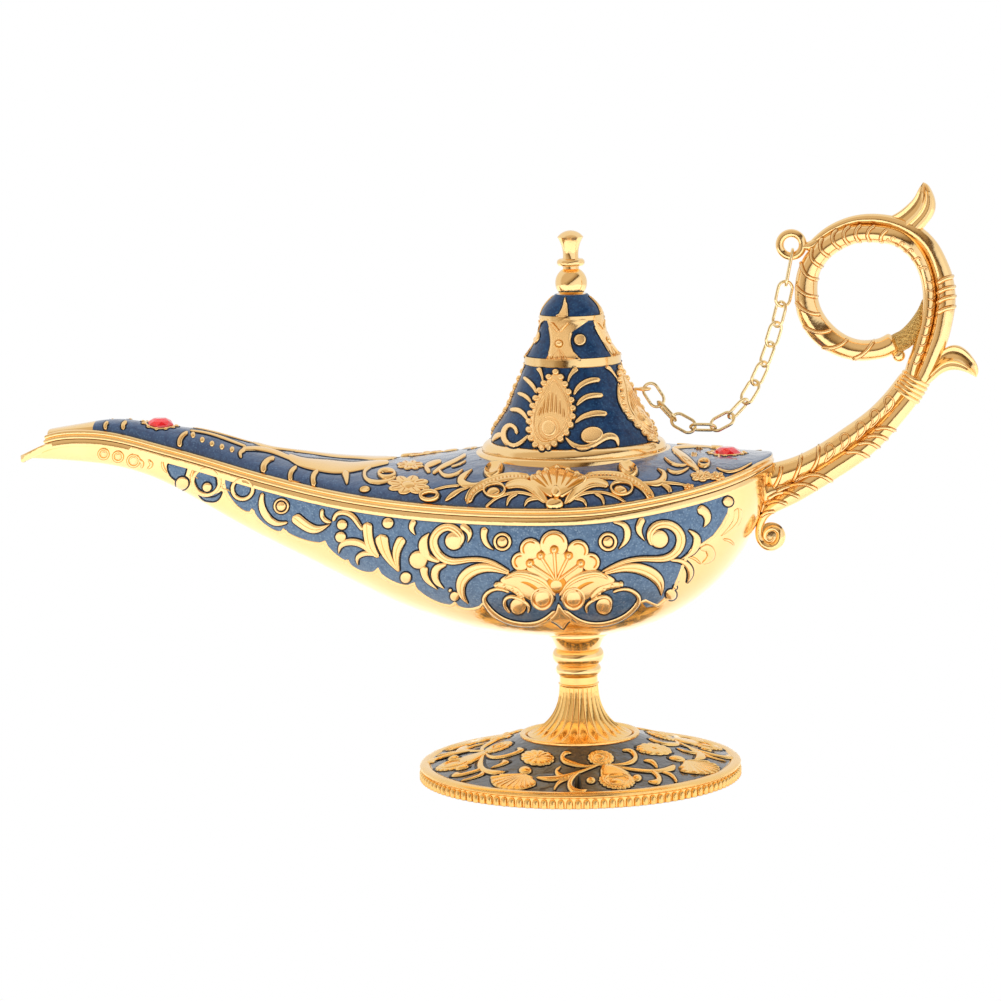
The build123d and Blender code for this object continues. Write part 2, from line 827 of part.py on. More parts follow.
with BuildPart() as cap:
    with BuildSketch(Plane.XZ):
        with BuildLine():
            skirt = cap_points(cap_skirt_shares, cap_enamel_depth)
            upper = cap_points(cap_upper_shares, cap_enamel_depth)
            dome = cap_points(cap_dome_shares, cap_enamel_depth)
            ring_top_z = cap_seat_z + cap_ring_height
            Line((0, cap_base_z), (cap_ring_r, cap_base_z))
            ThreePointArc(
                (cap_ring_r, cap_base_z),
                (cap_ring_r + cap_ring_bulge, (cap_base_z + ring_top_z) / 2),
                (skirt[0][0] + cap_enamel_depth, skirt[0][1]),
            )
            Line((skirt[0][0] + cap_enamel_depth, skirt[0][1]), skirt[0])
            Spline(*skirt)
            Polyline(
                skirt[-1],
                (cap_band_r, cap_band_z),
                (cap_band_r, cap_band_z + cap_band_height),
                upper[0],
            )
            Spline(*upper)
            Polyline(
                upper[-1],
                (cap_thin_band_r, cap_thin_band_z),
                (cap_thin_band_r, cap_thin_band_z + cap_thin_band_height),
                dome[0],
            )
            Spline(*dome)
            Polyline(dome[-1], (0, cap_top_z), (0, cap_base_z))
        make_face()
    revolve(axis=Axis.Z)
    with BuildSketch(Plane.XY.offset(cap_base_z - cap_spigot_depth)):
        Circle(neck_bore_r - running_gap)
    extrude(amount=cap_spigot_depth + seat_gap)
    with BuildSketch(Plane.XZ):
        with BuildLine():
            inner_skirt = cap_points(cap_skirt_shares, cap_enamel_depth + cap_wall)
            inner_upper = cap_points(cap_upper_shares, cap_enamel_depth + cap_wall)
            spigot_bore_r = neck_bore_r - running_gap - cap_wall
            Polyline(
                (0, cap_base_z - cap_spigot_depth - overrun),
                (spigot_bore_r, cap_base_z - cap_spigot_depth - overrun),
                (spigot_bore_r, cap_base_z),
                inner_skirt[0],
            )
            Spline(*inner_skirt)
            Line(inner_skirt[-1], inner_upper[0])
            Spline(*inner_upper)
            Line(inner_upper[-1], (0, inner_upper[-1][1]))
            Line((0, inner_upper[-1][1]), (0, cap_base_z - cap_spigot_depth - overrun))
        make_face()
    revolve(axis=Axis.Z, mode=Mode.SUBTRACT)
    with BuildSketch(Plane.XY.offset(cap_band_z)):
        Circle(finial_stud_r + screw_clearance)
    extrude(amount=cap_height, mode=Mode.SUBTRACT)
finish(cap.part, "cap")

for shares, name in (
    (cap_skirt_shares, "cap_skirt_enamel"),
    (cap_upper_shares, "cap_upper_enamel"),
    (cap_dome_shares, "cap_dome_enamel"),
):
    skin = cap_skin(shares, 0, cap_enamel_depth - skin_gap)
    with BuildPart() as ring:
        add(skin)
        low = cap_seat_z + shares[0][1] * cap_height + skin_gap
        high = cap_seat_z + shares[-1][1] * cap_height - skin_gap
        with BuildSketch(Plane.XY.offset(low)):
            Circle(cap_ring_r)
        extrude(amount=high - low, mode=Mode.INTERSECT)
    finish(ring.part, name)

with BuildPart() as cap_medallions:
    add(cap_skin(cap_skirt_shares, -medallion_rise, -skin_gap))
    medallion_z = (medallion_bottom_z + medallion_tip_z) / 2
    with BuildPart(mode=Mode.PRIVATE) as almonds:
        for i in range(medallion_count):
            turn = math.radians(-90 - medallion_turn + i * 360 / medallion_count)
            facing = Plane(
                origin=(0, 0, medallion_z),
                x_dir=(-math.sin(turn), math.cos(turn), 0),
                z_dir=(math.cos(turn), math.sin(turn), 0),
            )
            half = (medallion_tip_z - medallion_bottom_z) / 2
            belly = -half * medallion_belly_share
            with BuildSketch(facing):
                with BuildLine():
                    ThreePointArc((0, half), (-medallion_half_width, belly), (0, -half))
                    ThreePointArc((0, -half), (medallion_half_width, belly), (0, half))
                make_face()
            extrude(amount=cap_ring_r + overrun)
    add(almonds.part, mode=Mode.INTERSECT)
finish(cap_medallions.part, "cap_medallions")

with BuildPart() as finial:
    with BuildSketch(Plane.XZ):
        with BuildLine():
            foot_z = cap_top_z + seat_gap
            ball_foot_r = math.sqrt(finial_ball_r**2 - (finial_ball_z - foot_z) ** 2)
            ball_top_z = finial_ball_z + math.sqrt(finial_ball_r**2 - finial_neck_r**2)
            stud_z = foot_z - finial_stud_length
            Polyline(
                (0, stud_z),
                (finial_stud_r, stud_z),
                (finial_stud_r, foot_z),
                (ball_foot_r, foot_z),
            )
            ThreePointArc(
                (ball_foot_r, foot_z),
                (finial_ball_r, finial_ball_z),
                (finial_neck_r, ball_top_z),
            )
            flange_half = (finial_flange_r - finial_neck_r) / 2
            crown_rise = finial_top_z - finial_head_z
            crown_r = (finial_head_r**2 + crown_rise**2) / (2 * crown_rise)
            crown_half_turn = math.asin(finial_head_r / crown_r) / 2
            Line((finial_neck_r, ball_top_z), (finial_neck_r, finial_flange_z - flange_half))
            ThreePointArc(
                (finial_neck_r, finial_flange_z - flange_half),
                (finial_flange_r, finial_flange_z),
                (finial_neck_r, finial_flange_z + flange_half),
            )
            ThreePointArc(
                (finial_neck_r, finial_flange_z + flange_half),
                (finial_waist_r, finial_waist_z),
                (finial_head_r, finial_head_z),
            )
            ThreePointArc(
                (finial_head_r, finial_head_z),
                (
                    crown_r * math.sin(crown_half_turn),
                    finial_top_z - crown_r * (1 - math.cos(crown_half_turn)),
                ),
                (0, finial_top_z),
            )
            Line((0, finial_top_z), (0, stud_z))
        make_face()
    revolve(axis=Axis.Z)
finish(finial.part, "finial")

finial_nut_z = cap_seat_z + cap_upper_shares[-1][1] * cap_height - finial_nut_height - seat_gap
finish(
    hex_nut(finial_nut_z, finial_nut_across, finial_nut_height, finial_stud_r + seat_gap),
    "finial_nut",
)

cap_eyelet_root_r = cap_radius(cap_eyelet_z - cap_eyelet_wire / 2) + medallion_rise + seat_gap
cap_eyelet_x = cap_eyelet_root_r + cap_eyelet_post + cap_eyelet_r
with BuildPart() as cap_eyelet:
    with Locations((cap_eyelet_x, 0, cap_eyelet_z)):
        Torus(cap_eyelet_r, cap_eyelet_wire / 2)
    with BuildSketch(station_plane(cap_eyelet_root_r)):
        with Locations((0, cap_eyelet_z)):
            Circle(cap_eyelet_wire / 2)
    extrude(amount=cap_eyelet_post)
finish(cap_eyelet.part, "cap_eyelet")

# Handle

collar_turn = math.radians(collar_angle)
collar_axis = (math.cos(collar_turn), math.sin(collar_turn))


def beside_collar(along, across):
    """Point at a distance along the stem from the collar's centre, and to its left."""
    return (
        collar_centre[0] + along * collar_axis[0] - across * collar_axis[1],
        collar_centre[1] + along * collar_axis[1] + across * collar_axis[0],
    )


def stem_points(shares, thickness, offset):
    """A stem's path from the bowl up to the collar's lower face."""
    points = []
    for along, up, share in shares:
        x = stem_root[0] + along * (collar_centre[0] - stem_root[0])
        z = stem_root[1] + up * (collar_centre[1] - stem_root[1])
        points.append((x, z, share * thickness))
    end = beside_collar(-collar_length / 2 - seat_gap, offset)
    points.append((end[0], end[1], strand_end_thickness))
    return points


def ring_points(shares, offset):
    """A strand's path from the collar's upper face round the finger ring."""
    start = beside_collar(collar_length / 2 + seat_gap, offset)
    points = [(start[0], start[1], strand_end_thickness)]
    for angle, distance, thickness in shares:
        x, z = about_ring(angle, distance * ring_r)
        points.append((x, z, thickness * strand_thickness))
    return points


bowl_cutter = bowl_block(-seat_gap, overrun, -spout_reach, stern_reach)

for shares, thickness, offset, screw_z, name in (
    (upper_stem_shares, upper_stem_thickness, inner_strand_offset, handle_screw_heights[0],
     "handle_stem_upper"),
    (lower_stem_shares, lower_stem_thickness, -outer_strand_offset, handle_screw_heights[1],
     "handle_stem_lower"),
):
    with BuildPart() as stem:
        loft(rod_sections(stem_points(shares, thickness, offset), last_heading=collar_angle))
        add(bowl_cutter, mode=Mode.SUBTRACT)
        with BuildSketch(station_plane(cavity_x)):
            with Locations((0, screw_z)):
                Circle(handle_screw_r + seat_gap)
        extrude(amount=handle_screw_end_x + screw_clearance - cavity_x, mode=Mode.SUBTRACT)
    finish(stem.part, name)

with BuildPart() as handle_collar:
    ridge_length = collar_length / collar_ridges
    for i in range(collar_ridges):
        for start_share, rise in ((0, 0), (collar_groove_share, collar_ridge_rise)):
            along = -collar_length / 2 + (i + start_share) * ridge_length
            x, z = beside_collar(along, 0)
            across = Plane(
                origin=(x, 0, z),
                x_dir=(0, 1, 0),
                z_dir=(collar_axis[0], 0, collar_axis[1]),
            )
            with BuildSketch(across):
                Ellipse(collar_half_depth + rise, collar_half_width + rise)
            extrude(amount=ridge_length * (1 - 2 * start_share))
finish(handle_collar.part, "handle_collar")

with BuildPart() as handle_ring_strand:
    loft(rod_sections(
        ring_points(ring_strand_shares, inner_strand_offset), first_heading=collar_angle,
    ))
finish(handle_ring_strand.part, "handle_ring_strand")

with BuildPart() as handle_outer_strand:
    loft(rod_sections(
        ring_points(outer_strand_shares, -outer_strand_offset), first_heading=collar_angle,
    ))
finish(handle_outer_strand.part, "handle_outer_strand")


def horn_leaf(base, angle, shares):
    """Pointed leaf lofted from its base to its tip through oval sections."""
    turn = math.radians(angle)
    sections = []
    for along, across, heading, share in shares:
        x = base[0] + leaf_length * (along * math.cos(turn) - across * math.sin(turn))
        z = base[1] + leaf_length * (along * math.sin(turn) + across * math.cos(turn))
        facing = math.radians(heading)
        plane = Plane(
            origin=(x, 0, z),
            x_dir=(0, 1, 0),
            z_dir=(math.cos(facing), 0, math.sin(facing)),
        )
        with BuildSketch(plane) as section:
            Ellipse(leaf_depth * math.sqrt(share) / 2, leaf_width * share / 2)
        sections.append(section.sketch)
    with BuildPart() as leaf:
        loft(sections)
    return leaf.part


finish(
    horn_leaf(about_ring(top_leaf_angle, top_leaf_base_r), top_leaf_angle, top_leaf_shares),
    "top_leaf",
)
finish(horn_leaf(side_leaf_base, side_leaf_angle, side_leaf_shares), "side_leaf")

handle_plane = Plane(origin=(ring_centre[0], 0, ring_centre[1]), x_dir=(1, 0, 0), z_dir=(0, -1, 0))
with BuildPart() as handle_web:
    with BuildSketch(handle_plane):
        with BuildLine():
            corners = []
            for angle, radius in (
                (web_start_angle, web_inner_r), ((web_start_angle + web_end_angle) / 2, web_inner_r),
                (web_end_angle, web_inner_r), (web_end_angle, web_outer_r),
                ((web_start_angle + web_end_angle) / 2, web_outer_r), (web_start_angle, web_outer_r),
            ):
                turn = math.radians(angle)
                corners.append((radius * math.cos(turn), radius * math.sin(turn)))
            ThreePointArc(corners[0], corners[1], corners[2])
            Line(corners[2], corners[3])
            ThreePointArc(corners[3], corners[4], corners[5])
            Line(corners[5], corners[0])
        make_face()
    extrude(amount=web_thickness / 2, both=True)
finish(handle_web.part, "handle_web")

with BuildPart() as handle_ball:
    with Locations((ball_place[0], 0, ball_place[1])):
        Sphere(ball_r)
finish(handle_ball.part, "handle_ball")

with BuildPart() as scroll_volute:
    with BuildSketch(Plane(origin=(volute_centre[0], 0, volute_centre[1]), z_dir=(0, -1, 0))):
        Circle(volute_r)
    extrude(amount=volute_width / 2, both=True)
    add(bowl_cutter, mode=Mode.SUBTRACT)
finish(scroll_volute.part, "scroll_volute")

with BuildPart() as handle_screws:
    for height in handle_screw_heights:
        with BuildSketch(station_plane(cavity_x - seat_gap)):
            with Locations((0, height)):
                Circle(handle_screw_r)
        extrude(amount=handle_screw_end_x - cavity_x)
        with BuildSketch(station_plane(cavity_x - seat_gap - handle_screw_head_height)):
            with Locations((0, height)):
                Circle(handle_screw_head_r)
        extrude(amount=handle_screw_head_height)
finish(handle_screws.part, "handle_screws")

eyelet_centre = about_ring(eyelet_angle, eyelet_distance)
eyelet_wire = eyelet_r - eyelet_hole_r
eyelet_wire_r = (eyelet_r + eyelet_hole_r) / 2
with BuildPart() as handle_eyelet:
    with Locations(Location((eyelet_centre[0], 0, eyelet_centre[1]), (90, 0, 0))):
        Torus(eyelet_wire_r, eyelet_wire / 2)
finish(handle_eyelet.part, "handle_eyelet")

# Chain: links hung between the two eyelets

link_centre_length = link_length - link_wire
link_centre_width = link_width - link_wire
first_reach = (eyelet_wire + link_wire) / 2 + link_gap
link_reach = link_wire + link_gap
last_reach = (cap_eyelet_wire + link_wire) / 2 + last_link_play


def link_spans():
    """Distance from each link's pivot to the next one, the last to the lid's eyelet wire."""
    spans = [first_link_length - link_wire - first_reach]
    spans += [link_centre_length - link_reach] * (len(link_twists) - 1)
    spans[-1] -= last_reach
    return spans


def hang(spans, pull, rise):
    """Heading of each link under its own weight, for a level pull and a first rise."""
    headings = []
    for span in spans:
        headings.append(math.atan2(rise + span / 2, -pull))
        rise += span
    return headings


def far_end(spans, headings):
    """Where a chain that starts at zero ends."""
    return (
        sum(span * math.cos(heading) for span, heading in zip(spans, headings)),
        sum(span * math.sin(heading) for span, heading in zip(spans, headings)),
    )


def settle(start, end, spans):
    """Headings of a chain that hangs from start to end, found by Newton's steps."""
    total = sum(spans)
    goal = (end[0] - start[0], end[1] - start[1])
    pull, rise = total * first_pull_share, -total * first_rise_share
    nudge = total * nudge_share
    for _ in range(newton_steps):
        base = far_end(spans, hang(spans, pull, rise))
        by_pull = far_end(spans, hang(spans, pull + nudge, rise))
        by_rise = far_end(spans, hang(spans, pull, rise + nudge))
        a, b = (by_pull[0] - base[0]) / nudge, (by_rise[0] - base[0]) / nudge
        c, d = (by_pull[1] - base[1]) / nudge, (by_rise[1] - base[1]) / nudge
        miss = (goal[0] - base[0], goal[1] - base[1])
        spread = a * d - b * c
        pull += (d * miss[0] - b * miss[1]) / spread
        rise += (a * miss[1] - c * miss[0]) / spread
    return hang(spans, pull, rise)


chain_start = (eyelet_centre[0], eyelet_centre[1] - eyelet_wire_r)
chain_end = (cap_eyelet_x + cap_eyelet_r, cap_eyelet_z)
spans = link_spans()
headings = settle(chain_start, chain_end, spans)
pivots = [chain_start]
for span, heading in zip(spans, headings):
    x, z = pivots[-1]
    pivots.append((x + span * math.cos(heading), z + span * math.sin(heading)))


def chain_link(pivot, heading, twist, reach, centre_length):
    """Oval wire link whose near end lies a reach behind its pivot."""
    along = Vector(math.cos(heading), 0, math.sin(heading))
    side = Vector(0, 1, 0)
    turn = math.radians(twist)
    normal = side * math.cos(turn) + along.cross(side) * math.sin(turn)
    middle = Vector(pivot[0], 0, pivot[1]) + along * (centre_length / 2 - reach)
    plane = Plane(origin=middle, x_dir=along, z_dir=normal)
    half = link_centre_width / 2
    straight = centre_length / 2 - half
    with BuildPart() as link:
        with BuildLine(plane) as path:
            Line((-straight, half), (straight, half))
            ThreePointArc((straight, half), (straight + half, 0), (straight, -half))
            Line((straight, -half), (-straight, -half))
            ThreePointArc((-straight, -half), (-straight - half, 0), (-straight, half))
        with BuildSketch(Plane(origin=path.line @ 0, z_dir=path.line % 0)):
            Circle(link_wire / 2)
        sweep(path=path.line)
    return link.part


for i, twist in enumerate(link_twists):
    reach = first_reach if i == 0 else link_reach
    length = first_link_length - link_wire if i == 0 else link_centre_length
    finish(chain_link(pivots[i], headings[i], twist, reach, length), f"chain_link_{i + 1:02d}")
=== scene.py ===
import math

import bpy
import numpy as np
from mathutils import Matrix, Vector
from mathutils.bvhtree import BVHTree


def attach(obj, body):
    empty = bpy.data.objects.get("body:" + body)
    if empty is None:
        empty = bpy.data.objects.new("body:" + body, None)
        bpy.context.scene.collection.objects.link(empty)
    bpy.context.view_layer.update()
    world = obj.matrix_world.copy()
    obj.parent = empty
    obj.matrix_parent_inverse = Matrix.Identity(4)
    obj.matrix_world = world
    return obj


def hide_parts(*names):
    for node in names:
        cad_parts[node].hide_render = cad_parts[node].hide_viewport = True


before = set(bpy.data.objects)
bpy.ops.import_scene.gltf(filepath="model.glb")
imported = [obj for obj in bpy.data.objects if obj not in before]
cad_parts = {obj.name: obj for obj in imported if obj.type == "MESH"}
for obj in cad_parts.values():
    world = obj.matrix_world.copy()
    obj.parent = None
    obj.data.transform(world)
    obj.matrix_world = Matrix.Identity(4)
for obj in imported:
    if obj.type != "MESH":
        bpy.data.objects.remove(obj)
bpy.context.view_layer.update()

MM = 0.001

# Bowl and deck stations in mm: place along the lamp, half width, seam, keel and crown heights
STATIONS = np.array([
    (-130.24, 0.49, 74.11, 73.51, 77.6), (-126.98, 2.21, 75.61, 73.41, 79.2),
    (-123.06, 3.50, 77.29, 73.25, 80.31), (-116.01, 4.30, 78.41, 72.75, 81.49),
    (-107.01, 5.11, 77.90, 71.60, 82.60), (-96.96, 6.44, 75.70, 68.48, 81.39),
    (-86.00, 8.40, 73.10, 62.76, 79.81), (-75.04, 11.10, 70.39, 56.69, 76.59),
    (-63.95, 14.59, 68.10, 51.31, 74.40), (-52.98, 18.80, 66.39, 46.00, 73.10),
    (-42.02, 23.42, 65.34, 40.91, 73.00), (-31.06, 27.90, 64.80, 37.00, 74.21),
    (-19.97, 31.82, 64.60, 34.24, 75.51), (-10.05, 34.20, 64.60, 33.19, 76.31),
    (0.00, 35.00, 64.70, 32.90, 76.59), (9.99, 34.13, 65.11, 33.86, 76.50),
    (19.98, 31.36, 66.29, 37.02, 75.89), (27.99, 27.41, 67.59, 41.72, 74.91),
    (34.02, 22.91, 68.80, 47.21, 74.49), (38.52, 18.09, 69.92, 53.14, 74.49),
    (41.98, 12.60, 71.09, 59.89, 74.40), (44.19, 6.61, 71.95, 66.67, 74.59),
    (44.85, 2.84, 72.14, 70.21, 74.65),
])
BOW_STATIONS = 15  # as far as the widest place; behind it the plan is half an oval
STERN = 45.0
HALF_WIDTH = 35.0
KEEL = 32.9
KEEL_POWER = 0.6
SEAM_RANGE = (-130.24, 44.95)
CROWN_RANGE = (-126.0, 44.85)
BOWL_START = -130.2
DECK_START = -123.0
SURFACE_END = STERN * 0.9995
LEVEL_END = STERN * 0.9994
RIM = 2.1
DECK_INSET = 1.0
THINNEST = 0.05

# Curves and paths

LEAST_STEP = 1e-6


def unit(v):
    return v / np.maximum(np.linalg.norm(v, axis=-1, keepdims=True), 1e-12)


def spline(xs, ys, clamp=False):
    """Cubic curve through rows of knots, as a function of arrays of places along it."""
    xs, ys = np.asarray(xs, float), np.asarray(ys, float)
    if ys.ndim == 1:
        ys = ys[:, None]
    n, h = len(xs), np.diff(xs)
    a, b = np.zeros((n, n)), np.zeros((n, ys.shape[1]))
    a[0, 0] = a[-1, -1] = 1
    for i in range(1, n - 1):
        a[i, i - 1], a[i, i], a[i, i + 1] = h[i - 1], 2 * (h[i - 1] + h[i]), h[i]
        b[i] = 3 * ((ys[i + 1] - ys[i]) / h[i] - (ys[i] - ys[i - 1]) / h[i - 1])
    if clamp:
        a[-1, -2], a[-1, -1] = h[-1], 2 * h[-1]
        b[-1] = -3 * (ys[-1] - ys[-2]) / h[-1]
    c = np.linalg.solve(a, b)

    def at(x):
        x = np.atleast_1d(np.asarray(x, float))
        i = np.clip(np.searchsorted(xs, x) - 1, 0, n - 2)
        t = (x - xs[i])[:, None]
        hi = h[i][:, None]
        slope = (ys[i + 1] - ys[i]) / hi - hi * (2 * c[i] + c[i + 1]) / 3
        return (ys[i] + slope * t + c[i] * t**2 + (c[i + 1] - c[i]) / (3 * hi) * t**3).squeeze()

    return at


def run_length(p, least=0.0):
    """Distance travelled at each row of a path; the first two numbers of a row are its place."""
    return np.r_[0, np.cumsum(np.maximum(np.linalg.norm(np.diff(p[:, :2], axis=0), axis=1), least))]


def path_through(points, count):
    """Evenly spaced samples of a smooth curve through rows of numbers; the first two are its place."""
    p = np.asarray(points, float)
    if len(p) == 2:
        return p[0] + (p[1] - p[0]) * np.linspace(0, 1, count)[:, None]
    s = run_length(p, LEAST_STEP)
    fine = spline(s, p)(np.linspace(0, s[-1], 12 * len(p)))
    t = run_length(fine)
    even = np.linspace(0, t[-1], count)
    return np.stack([np.interp(even, t, fine[:, k]) for k in range(fine.shape[1])], 1)


def closed_path(rows, count):
    """Even samples round a closed run of rows."""
    p = np.asarray([*rows, rows[0]], float)
    wrapped = np.concatenate([p[-4:-1], p, p[1:4]])
    s = run_length(wrapped, LEAST_STEP)
    even = np.linspace(s[3], s[-4], count, endpoint=False)
    return spline(s, wrapped)(even)


def along(path, closed=False):
    """Unit directions along a path."""
    if closed:
        return unit(np.roll(path[:, :2], -1, 0) - np.roll(path[:, :2], 1, 0))
    return unit(np.gradient(path[:, :2], axis=0))


def sideways(path, closed=False):
    """Unit directions to the side of a path."""
    d = along(path, closed)
    return np.stack([-d[:, 1], d[:, 0]], 1)


def one_way(outline):
    """A closed outline with its rows in the order that makes its faces look outward."""
    x, y = outline[:, 0], outline[:, 1]
    return outline[::-1] if np.sum(x * np.roll(y, -1) - np.roll(x, -1) * y) < 0 else outline


def with_width(rows, width):
    """Rows of x, y with one width for all."""
    return np.c_[np.asarray(rows, float)[:, :2], np.full(len(rows), width)]


def oval(x, y, rx, ry, turn=0.0, count=26):
    a = np.linspace(0, 2 * math.pi, count, endpoint=False)
    c, s, t = np.cos(a) * rx, np.sin(a) * ry, math.radians(turn)
    return np.stack([x + c * math.cos(t) - s * math.sin(t), y + c * math.sin(t) + s * math.cos(t)], 1)


# Camera, as found from the photograph

CAMERA_DISTANCE = 850.0
CAMERA_HEIGHT = 182.0
CAMERA_TURN = math.radians(8.5)
CAMERA_PITCH = math.radians(7.9)
CAMERA_ROLL = math.radians(1.25)
FOCAL_PIXELS = 3770.0
PICTURE_SIZE = 1001
PICTURE_CENTRE = 500.5
AXIS_PIXEL = 576.0

eye = np.array([
    CAMERA_DISTANCE * math.sin(CAMERA_TURN), -CAMERA_DISTANCE * math.cos(CAMERA_TURN), CAMERA_HEIGHT,
])
heading = math.atan2(-eye[0], -eye[1]) - math.atan((AXIS_PIXEL - PICTURE_CENTRE) / FOCAL_PIXELS)
forward = np.array([
    math.sin(heading) * math.cos(CAMERA_PITCH), math.cos(heading) * math.cos(CAMERA_PITCH),
    -math.sin(CAMERA_PITCH),
])
level = np.array([math.cos(heading), -math.sin(heading), 0.0])
upward = np.cross(level, forward)
right = level * math.cos(CAMERA_ROLL) - upward * math.sin(CAMERA_ROLL)
above = np.cross(right, forward)


def pixel_rays(q):
    """Directions from the camera through rows of pixels."""
    d = forward + (q[:, :1] - PICTURE_CENTRE) * right / FOCAL_PIXELS
    return unit(d - (q[:, 1:2] - PICTURE_CENTRE) * above / FOCAL_PIXELS)


def project(p):
    """Pixels at which places in mm are seen."""
    v = p - eye
    depth = v @ forward
    return np.stack([
        PICTURE_CENTRE + FOCAL_PIXELS * (v @ right) / depth, PICTURE_CENTRE - FOCAL_PIXELS * (v @ above) / depth,
    ], -1)


# Shapes and pieces

class Shape:
    """Collects vertices in mm and faces for one piece."""

    def __init__(self):
        self.points, self.faces, self.count = [], [], 0

    def add(self, points, faces):
        points = np.asarray(points, float).reshape(-1, 3)
        self.points.append(points)
        self.faces.extend([tuple(int(k) + self.count for k in f) for f in faces])
        self.count += len(points)

    def grid(self, p, wrap_rows=False, wrap_cols=False, flip=False):
        """Adds a rows x columns x 3 sheet of points."""
        n, m = p.shape[:2]
        rows = n if wrap_rows else n - 1
        cols = m if wrap_cols else m - 1
        i, j = np.meshgrid(np.arange(rows), np.arange(cols), indexing="ij")
        i2, j2 = (i + 1) % n, (j + 1) % m
        f = np.stack([i * m + j, i * m + j2, i2 * m + j2, i2 * m + j], -1).reshape(-1, 4)
        if flip:
            f = f[:, ::-1]
        self.add(p, f)

    def mirrored(self):
        """The same shape with Y turned round."""
        other = Shape()
        if self.count:
            other.add(np.concatenate(self.points) * (1, -1, 1), [f[::-1] for f in self.faces])
        return other

    def join(self, other):
        if other.count:
            self.add(np.concatenate(other.points), other.faces)
        return self

    def doubled(self):
        """The shape together with its mirrored half."""
        return Shape().join(self).join(self.mirrored())

    def tree(self):
        return BVHTree.FromPolygons(np.concatenate(self.points).tolist(), self.faces)


def place_in_scene(name, data):
    obj = bpy.data.objects.new(name, data)
    bpy.context.scene.collection.objects.link(obj)
    return obj


def make_piece(name, shape, material, body, smooth=True, sharp=None):
    """Turns a collected shape into an object that rides on a body."""
    mesh = bpy.data.meshes.new(name)
    mesh.from_pydata((np.concatenate(shape.points) * MM).tolist(), [], shape.faces)
    mesh.validate()
    mesh.materials.append(material)
    mesh.polygons.foreach_set("use_smooth", [smooth] * len(mesh.polygons))
    if sharp:
        mesh.set_sharp_from_angle(angle=math.radians(sharp))
    mesh.update()
    obj = place_in_scene(name, mesh)
    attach(obj, body)
    return obj


def revolve(shape, profile, around, wobble=None):
    """Turns a profile of (radius, z) about the lamp's axis; wobble changes the radius by angle."""
    prof = np.asarray(profile, float)
    turn = np.linspace(0, 2 * math.pi, around, endpoint=False)
    r = prof[:, 0][:, None] * np.ones(around)[None]
    if wobble is not None:
        r = r + wobble(prof, turn)
    p = np.stack([r * np.cos(turn), r * np.sin(turn), prof[:, 1][:, None] * np.ones(around)[None]], -1)
    shape.grid(p, wrap_cols=True)


def open_sheet(shape, p, keep, flip=False):
    """Adds a sheet of points without the faces whose middle isn't kept."""
    n, m = p.shape[:2]
    i, j = np.meshgrid(np.arange(n - 1), np.arange(m - 1), indexing="ij")
    f = np.stack([i * m + j, i * m + j + 1, (i + 1) * m + j + 1, (i + 1) * m + j], -1).reshape(-1, 4)
    flat = p.reshape(-1, 3)
    f = f[keep(flat[f].mean(1))]
    shape.add(flat, f[:, ::-1] if flip else f)


def quarter_turns(shape, turns=(0, 90, 180, 270)):
    """The shape repeated about the lamp's axis."""
    points, whole = np.concatenate(shape.points), Shape()
    for degrees in turns:
        c, s = math.cos(math.radians(degrees)), math.sin(math.radians(degrees))
        whole.add(points @ np.array([[c, s, 0], [-s, c, 0], [0, 0, 1]]), shape.faces)
    return whole


def node_tree(*names):
    """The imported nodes' faces in mm, to be measured with rays."""
    points, faces = [], []
    for name in names:
        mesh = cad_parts[name].data
        base = len(points)
        points.extend(v.co / MM for v in mesh.vertices)
        faces.extend([base + k for k in f.vertices] for f in mesh.polygons)
    return BVHTree.FromPolygons(points, faces)


def measured_radius(tree, heights, way, start):
    """Radii at which level rays from outside meet a measured surface."""
    spots = [tree.ray_cast(way * start + Vector((0, 0, z)), -way)[0] for z in heights]
    return np.array([math.hypot(spot[0], spot[1]) for spot in spots])


# Surfaces of the bowl and the deck

bow = STATIONS[:BOW_STATIONS]
width_curve = spline(bow[:, 0], bow[:, 1], clamp=True)
keel_curve = spline(bow[:, 0], bow[:, 3], clamp=True)
seam_curve = spline(STATIONS[:, 0], STATIONS[:, 2])
crown_curve = spline(STATIONS[:, 0], STATIONS[:, 4])


def closing(x):
    """What is left of the plan's oval towards the stern, as a square."""
    return np.maximum(1 - (x / STERN) ** 2, 1e-6)


def half_width(x):
    x = np.asarray(x, float)
    return np.where(x <= 0, width_curve(np.minimum(x, 0)), HALF_WIDTH * np.sqrt(closing(x)))


def seam(x):
    return seam_curve(np.clip(x, *SEAM_RANGE))


def keel(x):
    x = np.asarray(x, float)
    behind = seam(x) - (seam(x) - KEEL) * closing(x) ** KEEL_POWER
    return np.where(x <= 0, keel_curve(np.minimum(x, 0)), behind)


def crown(x):
    return crown_curve(np.clip(x, *CROWN_RANGE))


def lengthwise(first, spout_count, stern_count):
    """Places along the lamp, closer together where the stern turns."""
    ahead = np.linspace(first, 0, spout_count, endpoint=False)
    return np.r_[ahead, SURFACE_END * np.sin(np.linspace(0, math.pi / 2, stern_count))]


def hull_section(x, inset=0.0):
    """Half width, height of the seam and depth under it of the bowl's sections."""
    return half_width(x) - inset, seam(x), seam(x) - (keel(x) + inset)


def deck_section(x):
    """Half width, height of the rim and rise over it of the deck's sections."""
    base = seam(x) + RIM
    return np.maximum(half_width(x) - DECK_INSET, THINNEST), base, np.maximum(crown(x) - base, THINNEST)


def half_ovals(x, count, half, start, rise):
    """A sheet of half ovals across the lamp, from the near edge over the middle to the far edge."""
    t = np.linspace(0, math.pi, count)
    return np.stack([
        x[:, None] * np.ones_like(t)[None], -half[:, None] * np.cos(t)[None],
        start[:, None] + rise[:, None] * np.sin(t)[None],
    ], -1)


